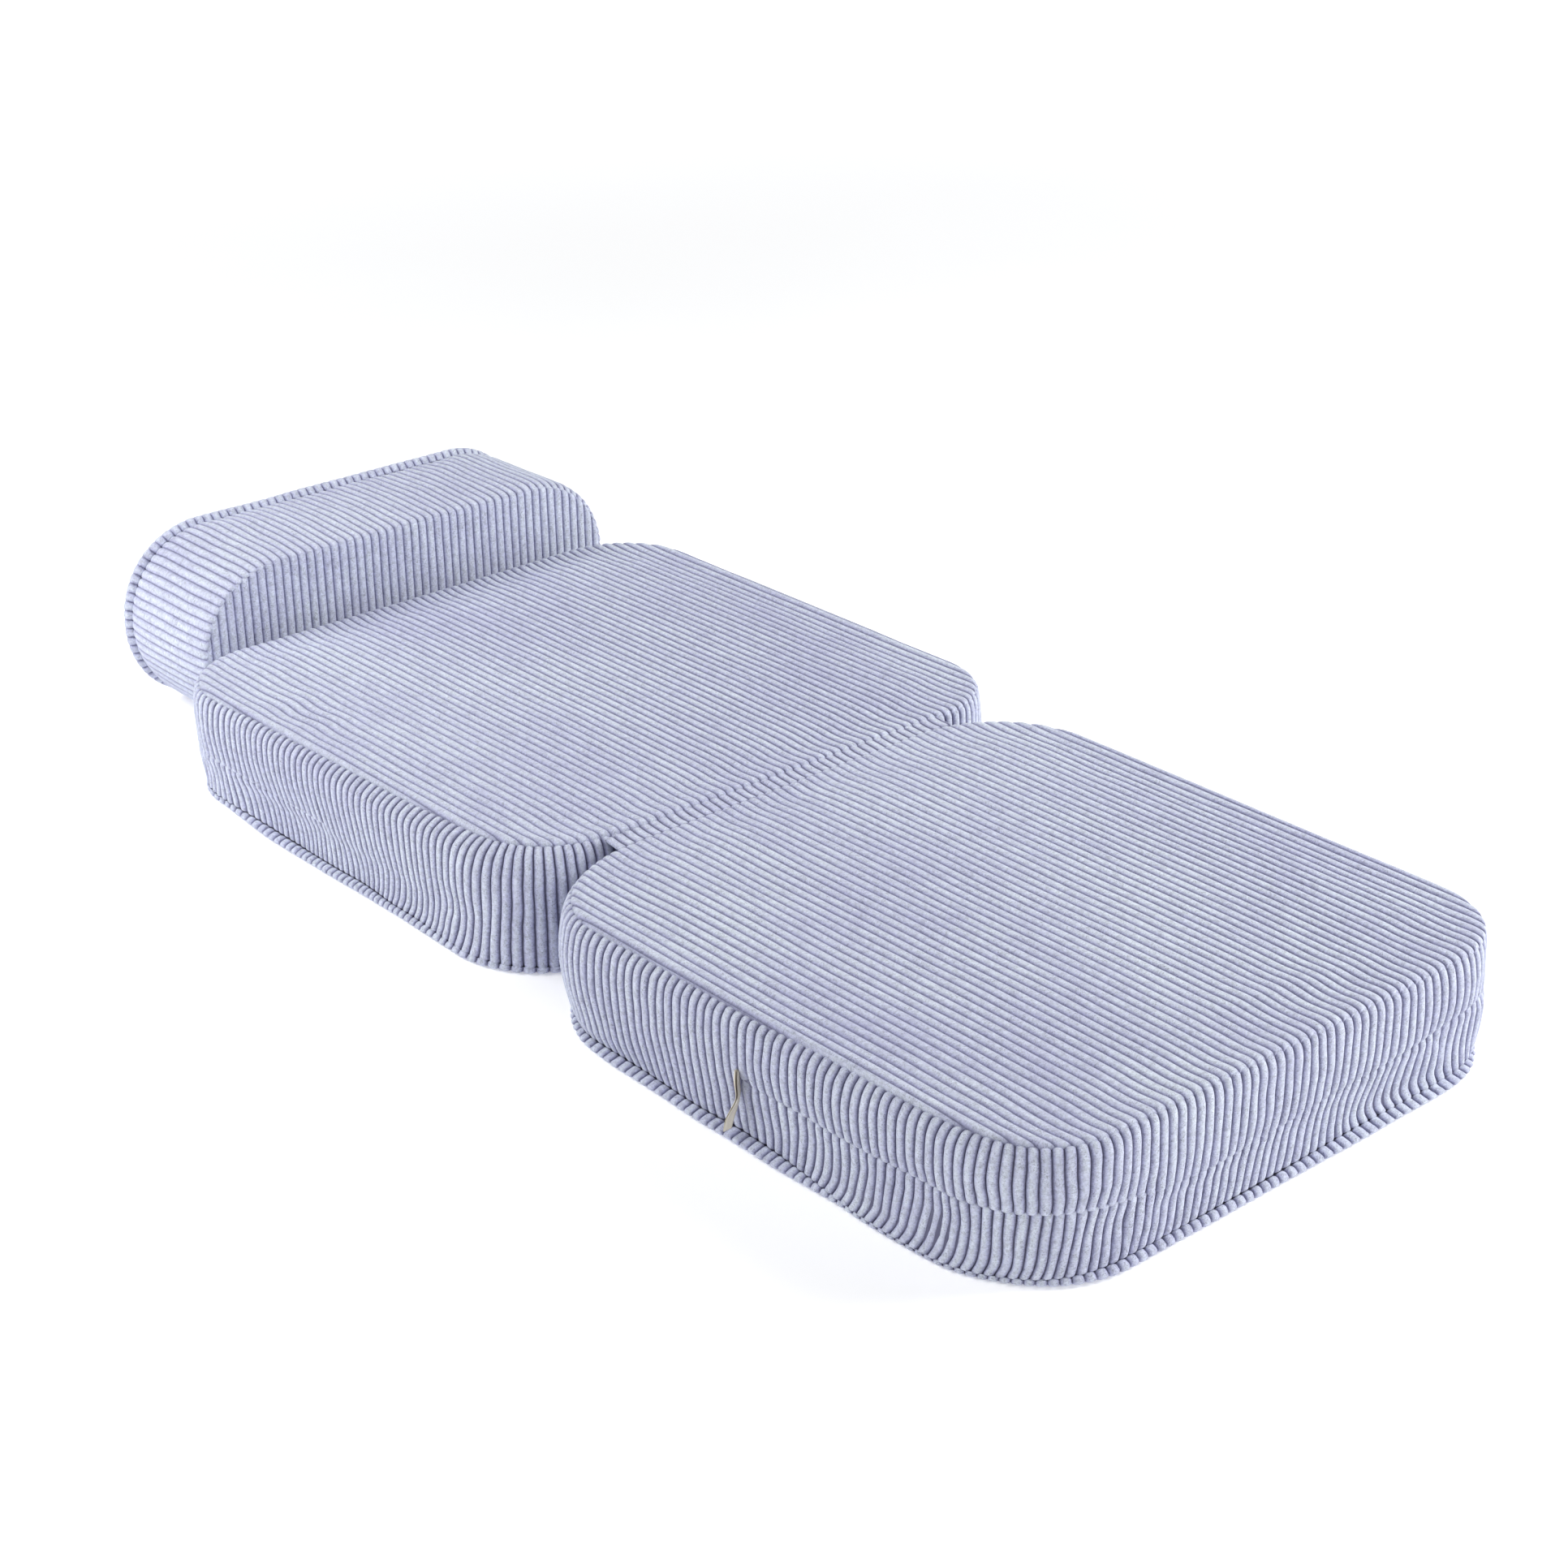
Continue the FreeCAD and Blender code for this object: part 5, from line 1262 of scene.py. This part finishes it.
bol = bolster()
for key, node, pad in (("plain", "plain_band", 0.9), ("zip_front", "zip_band_front", 0.9),
                       ("zip_rear", "zip_band_rear", 0.9), ("welt", "welt", 0.7), ("front", "front_panel", 0.95),
                       ("back", "back_panel", 0.9)):
    dress(bol["pieces"][key], CORD, "bolster", ["bolster_" + node])
dress(bol["pieces"]["foam"], FOAM, "bolster", ["bolster_foam_core"])
dress(bol["pieces"]["zip"], TAPE, "bolster", ["bolster_zip"])


# ------------------------------------------------------------------ the hinge strips
def strip(name, x0, x1, y0, y1, shear, top, thick, phase0, seed, ends=1.6, sag=0.0, depth=2.2, rows=18):
    """A short ribbed strip of cloth sewn between two blocks, its wales along Y."""
    u, phase, k = columns(x0, x1, phase0)
    shape, hv = rib(phase), wale_height(k, seed)
    t = (1 - np.cos(np.linspace(0, math.pi, rows))) / 2
    y = y0 + (y1 - y0) * t
    v = y - y0
    V = y1 - y0
    X = u[None, :] + shear * (t[:, None] - 0.5) + 0.4 * noise2(u[None, :] / 12.0, t[:, None] * 2, seed)
    dome = end_dome(v, ends, 3.0) + end_dome(V - v, ends, 3.0)
    side = end_dome(u - x0, 1.2, 2.5) + end_dome(x1 - u, 1.2, 2.5)
    Z = top - dome[:, None] - side[None, :] - sag * np.sin(math.pi * t)[:, None]
    Z = Z - np.maximum(depth * hv[None, :] - 0.8 * dome[:, None], 0.1) * (1 - shape[None, :])
    Z = Z + 0.3 * noise2(u[None, :] / 25.0, t[:, None] * 2 + 9, seed + 1)
    G = np.stack([X, np.tile(y[:, None], (1, len(u))), Z], 2)
    m, n = Z.shape
    under = top - thick - sag * np.sin(math.pi * t)[:, None] + 0.40 * (thick - depth) * (1 - shape[None, :]) * np.ones((m, 1))
    low = np.stack([X, np.tile(y[:, None], (1, len(u))), under], 2)
    idx = np.arange(m * n).reshape(m, n)
    up = np.stack([idx[:-1, :-1], idx[:-1, 1:], idx[1:, 1:], idx[1:, :-1]], -1).reshape(-1, 4)
    dn = (up + m * n)[:, ::-1]
    loop = np.concatenate([idx[0, :], idx[1:, -1], idx[-1, -2::-1], idx[-2:0:-1, 0]])
    nxt = np.roll(loop, -1)
    side_q = np.stack([loop, loop + m * n, nxt + m * n, nxt], -1)
    quads = np.concatenate([up, dn, side_q])
    size = (x1 - x0 + 4) / 0.96
    flat = np.stack([(X.ravel() - X.min()) / size, (G[..., 1].ravel() - y0) / size], 1)
    uv_up = flat[up]
    uv_dn = flat[up][:, ::-1] + np.array([0, 0.2])
    a = np.arange(len(loop)) / len(loop) * 0.95
    b = a + 0.95 / len(loop)
    o = np.ones(len(loop))
    uv_s = np.stack([np.stack([a, 0.5 * o], 1), np.stack([a, 0.52 * o], 1), np.stack([b, 0.52 * o], 1), np.stack([b, 0.5 * o], 1)], 1)
    uv = np.concatenate([uv_up, uv_dn, uv_s])
    # the groove mask for the painted shade on the flanks and in the grooves, weaker underneath
    groove = np.concatenate([np.tile(1 - shape, m), np.tile(0.7 * (1 - shape), m)])
    # painted shade at the strip's seams, within 2 mm of each end
    ends_seam = np.tile(np.clip(1 - np.minimum(v, V - v) / 2.0, 0, 1)[:, None], (1, n)).ravel()
    seam = np.concatenate([ends_seam, ends_seam])
    fabric = np.stack([np.tile(u, 2 * m), np.tile(np.repeat(y, n), 2), np.tile(wale_shade(k, seed), 2 * m)], 1)
    fabric[:, :2] *= MM
    co = np.concatenate([G.reshape(-1, 3), low.reshape(-1, 3)])
    return make_mesh(name, co, quads, [], uv, {"groove": groove, "seam": seam}, {"fabric": fabric})


top_strip = strip("top_hinge_strip_cloth", 6.5 - 202.0, 6.5 + 202.0, HINGE_Y - GAP / 2 - 0.8, HINGE_Y + GAP / 2 + 0.8,
                  2.5, 117.0, 4.4, BASE["cx"] + 5.0, 71, ends=2.2, sag=0.5)
top_strip.data.materials.append(CORD)
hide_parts("top_hinge_strip")
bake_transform(top_strip)

seat_end = HINGE_Y + GAP / 2 + 609.0
rear_strip = strip("rear_hinge_strip_cloth", 24.5 - 159.0, 24.5 + 159.0, seat_end + 7.5, BOL["y"] + 0.6, 0.0, 2.6, 2.3, 24.5,
                   73, ends=0.5, depth=1.4)
rear_strip.data.materials.append(CORD)
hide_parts("rear_hinge_strip")
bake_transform(rear_strip)


# ------------------------------------------------------------------ label
def label():
    """A folded woven tag sewn into the side seam, its lower end loose and curled away."""
    loop, out, level = base["loop"], base["out"], base["level"]
    s0 = np.array([base["start"]])
    x, y = (float(a[0]) for a in loop.at(s0)[:2])
    r0 = float(along(out.at(s0), 5.0)[0])
    # (out, towards the foot, height) of the sewn edge and of the folded edge, top to bottom
    sewn = np.array([(-2, 0.5, 66), (-2, 0.5, 56), (-2, 1.0, 47), (-0.5, 1.5, 40), (1.5, 1.0, 32), (3.5, -0.5, 24), (5.0, -2.5, 13)], float)
    fold = np.array([(3, 3.0, 67), (6.5, 7.0, 58), (7.2, 8.4, 49), (8.0, 6.8, 42), (10.4, 3.2, 33), (12.4, -0.4, 24), (12.6, -3.6, 12)], float)
    rows, cols = 34, 9
    sheets, dark = [], []
    for leaf in (-1, 1):
        for face in (0, 1):
            g = np.zeros((rows, cols, 3))
            for i in range(rows):
                t = i / (rows - 1) * (len(sewn) - 1)
                a, b = along(sewn, t), along(fold, t)
                across = b - a
                across /= np.linalg.norm(across)
                side = np.cross(across, (0, 0, 1.0))
                for j in range(cols):
                    f = j / (cols - 1)
                    bow = 1.5 * math.sin(math.pi * min(1.0, f * 1.04)) * (0.5 + 0.5 * math.sin(t * 1.7))
                    edge = 0.5 * noise2(i / 5.0, 0.5 * j, 5)
                    off = leaf * (0.35 + (2.6 - 0.3 * t) * f * (1 - f**3)) + leaf * face * 0.35 + bow
                    at = a * (1 - f) + b * f + side * off + np.array([0, 0, 1]) * edge * 0.4 * f
                    g[i, j] = (x - r0 - at[0], y - at[1], at[2])
            sheets.append(g)
            # painted shade along the edges of the leaves in the tag's upper part, above 43 mm
            high = np.clip((g[..., 2] - 43.0) / 5.0, 0, 1)
            dark.append((high * (np.abs(np.linspace(-1, 1, cols))[None, :] > 0.85)).ravel())
    co, quads, at = [], [], 0
    idx = np.arange(rows * cols).reshape(rows, cols)
    up = np.stack([idx[:-1, :-1], idx[1:, :-1], idx[1:, 1:], idx[:-1, 1:]], -1).reshape(-1, 4)
    rim = np.concatenate([idx[:, 0], idx[-1, 1:], idx[-2::-1, -1], idx[0, -2:0:-1]])
    after = np.roll(rim, -1)
    n = rows * cols
    for leaf in (0, 1):
        inner, outer = sheets[2 * leaf], sheets[2 * leaf + 1]
        co += [inner.reshape(-1, 3), outer.reshape(-1, 3)]
        part = np.concatenate([up + n, up[:, ::-1], np.stack([rim, after, after + n, rim + n], -1)])
        quads.append((part if leaf else part[:, ::-1]) + at)
        at += 2 * n
    return make_mesh("side_label_leaves", np.concatenate(co), np.concatenate(quads), floats={"edge": np.concatenate(dark)})


tag = label()
dress(tag, WOVEN, "base", ["side_label"])


# ------------------------------------------------------------------ zip sliders
def slider_piece(name, at, out_dir, along_dir):
    """A zip slider: a waisted body with a bridge, and a flat pull tab with a hole."""
    import bmesh

    o, a = Vector(out_dir), Vector(along_dir)
    w = o.cross(a)
    m = Matrix((a, w, o)).transposed().to_4x4()
    m.translation = Vector(at) * MM
    bm = bmesh.new()

    def slab(sx, sy, sz, x, y, z, bevel):
        made = bmesh.ops.create_cube(bm, size=1.0)["verts"]
        bmesh.ops.scale(bm, vec=Vector((sx, sy, sz)) * MM, verts=made)
        bmesh.ops.translate(bm, vec=Vector((x, y, z)) * MM, verts=made)
        edges = list({e for v in made for e in v.link_edges})
        bmesh.ops.bevel(bm, geom=edges, offset=bevel * MM, segments=3, affect="EDGES", profile=0.6)

    slab(10.5, 6.6, 1.0, 0, 0, 0.7, 0.45)
    slab(8.5, 5.6, 0.9, 0, 0, -0.6, 0.4)
    slab(3.0, 1.5, 2.2, 2.6, 0, 0.2, 0.4)
    slab(6.5, 1.5, 0.9, 0.4, 0, 2.3, 0.4)
    slab(1.1, 1.5, 1.8, -2.4, 0, 1.7, 0.35)
    slab(1.1, 1.5, 1.8, 3.2, 0, 1.7, 0.35)
    # pull tab: a flat ring of four bars with a solid end
    slab(3.6, 0.9, 0.8, 4.6, 1.6, 2.6, 0.3)
    slab(3.6, 0.9, 0.8, 4.6, -1.6, 2.6, 0.3)
    slab(1.2, 4.2, 0.8, 3.2, 0, 2.6, 0.3)
    slab(10.5, 4.4, 0.9, 11.2, 0, 2.5, 0.42)
    bm.transform(m)
    me = bpy.data.meshes.new(name)
    bm.to_mesh(me)
    bm.free()
    me.polygons.foreach_set("use_smooth", [True] * len(me.polygons))
    ob = bpy.data.objects.new(name, me)
    bpy.context.scene.collection.objects.link(ob)
    return ob


def on_side(block, g, s, t):
    x, y, nx, ny = (float(a[0]) for a in block["loop"].at(np.array([s])))
    r = float(along(block["out"].at(np.array([s])), t)[0])
    return x + nx * r, y + ny * r


sx, sy = on_side(base, BASE, base["join"] - 14.0, 5.0)
dress(slider_piece("base_zip_slider_metal", (sx + 0.2, sy, 57.0), (1, 0, 0), (0, -1, 0)), PAINT, "base", ["base_zip_slider"])
sx, sy = on_side(seat, SEAT, seat["join"] + 14.0, 5.0)
dress(slider_piece("seat_zip_slider_metal", (sx + 0.2, sy, 51.0), (1, 0, 0), (0, 1, 0)), PAINT, "seat", ["seat_zip_slider"])
x_end = BOL["cx"] + BOL["w"] / 2
dress(slider_piece("bolster_zip_slider_metal", (x_end + 2.6, BOL["y"] + 83.5, 84.0), (1, 0, 0), (0, 0, -1)), PAINT, "bolster",
      ["bolster_zip_slider"])


# ------------------------------------------------------------------ stage, light and camera
def floor():
    me = bpy.data.meshes.new("floor")
    s = 14.0
    me.from_pydata([(-s, -s, 0), (s, -s, 0), (s, s, 0), (-s, s, 0)], [], [(0, 1, 2, 3)])
    ob = bpy.data.objects.new("floor", me)
    bpy.context.scene.collection.objects.link(ob)
    ob.location.z = -0.0004
    mat, nt, bsdf = new_material("floor_paint")
    k = Nodes(nt)
    tone = k.noise(k.coords(), 2.0, 2.0)
    nt.links.new(k.ramp(tone, [(0.3, (0.93, 0.93, 0.935)), (0.7, (0.945, 0.945, 0.95))]), bsdf.inputs["Base Color"])
    bsdf.inputs["Roughness"].default_value = 0.9
    bsdf.inputs["Specular IOR Level"].default_value = 0.1
    bsdf.inputs["Emission Color"].default_value = (0.99, 0.995, 1.0, 1)
    # the floor's far parts, which the lamps don't reach, are as pale as the rest
    apart = nt.nodes.new("ShaderNodeSeparateXYZ")
    nt.links.new(k.coords(), apart.inputs[0])
    x, y = apart.outputs[0], apart.outputs[1]
    far = k.math("ADD", k.math("MULTIPLY", x, x), k.math("MULTIPLY", y, y))
    far = k.math("MULTIPLY", k.math("SUBTRACT", far, 2.0), 0.045, True)
    nt.links.new(k.math("ADD", k.math("MULTIPLY", far, 0.85), 0.28), bsdf.inputs["Emission Strength"])
    mat.cycles.emission_sampling = "NONE"
    me.materials.append(mat)
    return ob


floor()

world = bpy.data.worlds.new("studio")
bpy.context.scene.world = world
world.use_nodes = True
bg = world.node_tree.nodes.get("Background") or world.node_tree.nodes.new("ShaderNodeBackground")
bg.inputs["Color"].default_value = (0.97, 0.985, 1.0, 1)
bg.inputs["Strength"].default_value = 0.27


def lamp(name, place, aim, size, power, colour=(1, 1, 1)):
    data = bpy.data.lights.new(name, "AREA")
    data.shape = "RECTANGLE"
    data.size, data.size_y = size
    data.energy = power
    data.color = colour
    ob = bpy.data.objects.new(name, data)
    bpy.context.scene.collection.objects.link(ob)
    ob.location = place
    ob.rotation_mode = "QUATERNION"
    ob.rotation_quaternion = (Vector(aim) - Vector(place)).to_track_quat("-Z", "Y")
    return ob


lamp("key", (-2.45, 1.5, 2.12), (0.0, 0.1, 0.05), (1.6, 1.6), 48.0)
lamp("left", (-1.0, 1.1, 1.1), (-0.15, 0.45, 0.1), (0.8, 0.6), 9.0)
lamp("front", (-1.2, -5.5, 3.6), (0.0, 0.0, 0.05), (3.6, 2.4), 96.0)
lamp("right", (2.0, -1.5, 1.5), (0.1, -0.4, 0.05), (1.4, 1.4), 66.0)
lamp("back", (-0.3, 3.2, 1.6), (0.0, 0.3, 0.1), (2.0, 1.2), 2.5)

cam_data = bpy.data.cameras.new("camera")
cam = bpy.data.objects.new("camera", cam_data)
bpy.context.scene.collection.objects.link(cam)
bpy.context.scene.camera = cam
cam_data.sensor_fit = "HORIZONTAL"
cam_data.sensor_width = 36.0
cam_data.lens = 3641.2755 / 1932 * 36.0
cam_data.dof.use_dof = False
az, el, roll = math.radians(-40.2558), math.radians(25.0357), math.radians(-0.9633)
behind = Vector((math.sin(az) * math.cos(el), -math.cos(az) * math.cos(el), math.sin(el)))
right = Vector((math.cos(az), math.sin(az), 0))
up = behind.cross(right)
r2 = right * math.cos(roll) + up * math.sin(roll)
u2 = up * math.cos(roll) - right * math.sin(roll)
m = Matrix((r2, u2, behind)).transposed().to_4x4()
m.translation = Vector((-1.6195 + 0.0125, -1.9036 - 0.080, 1.2761))
cam.matrix_world = m
cam_data.clip_start, cam_data.clip_end = 0.05, 60.0

view = bpy.context.scene.view_settings
view.view_transform = "Standard"
view.look = "None"
view.exposure = 0.0
view.gamma = 1.0
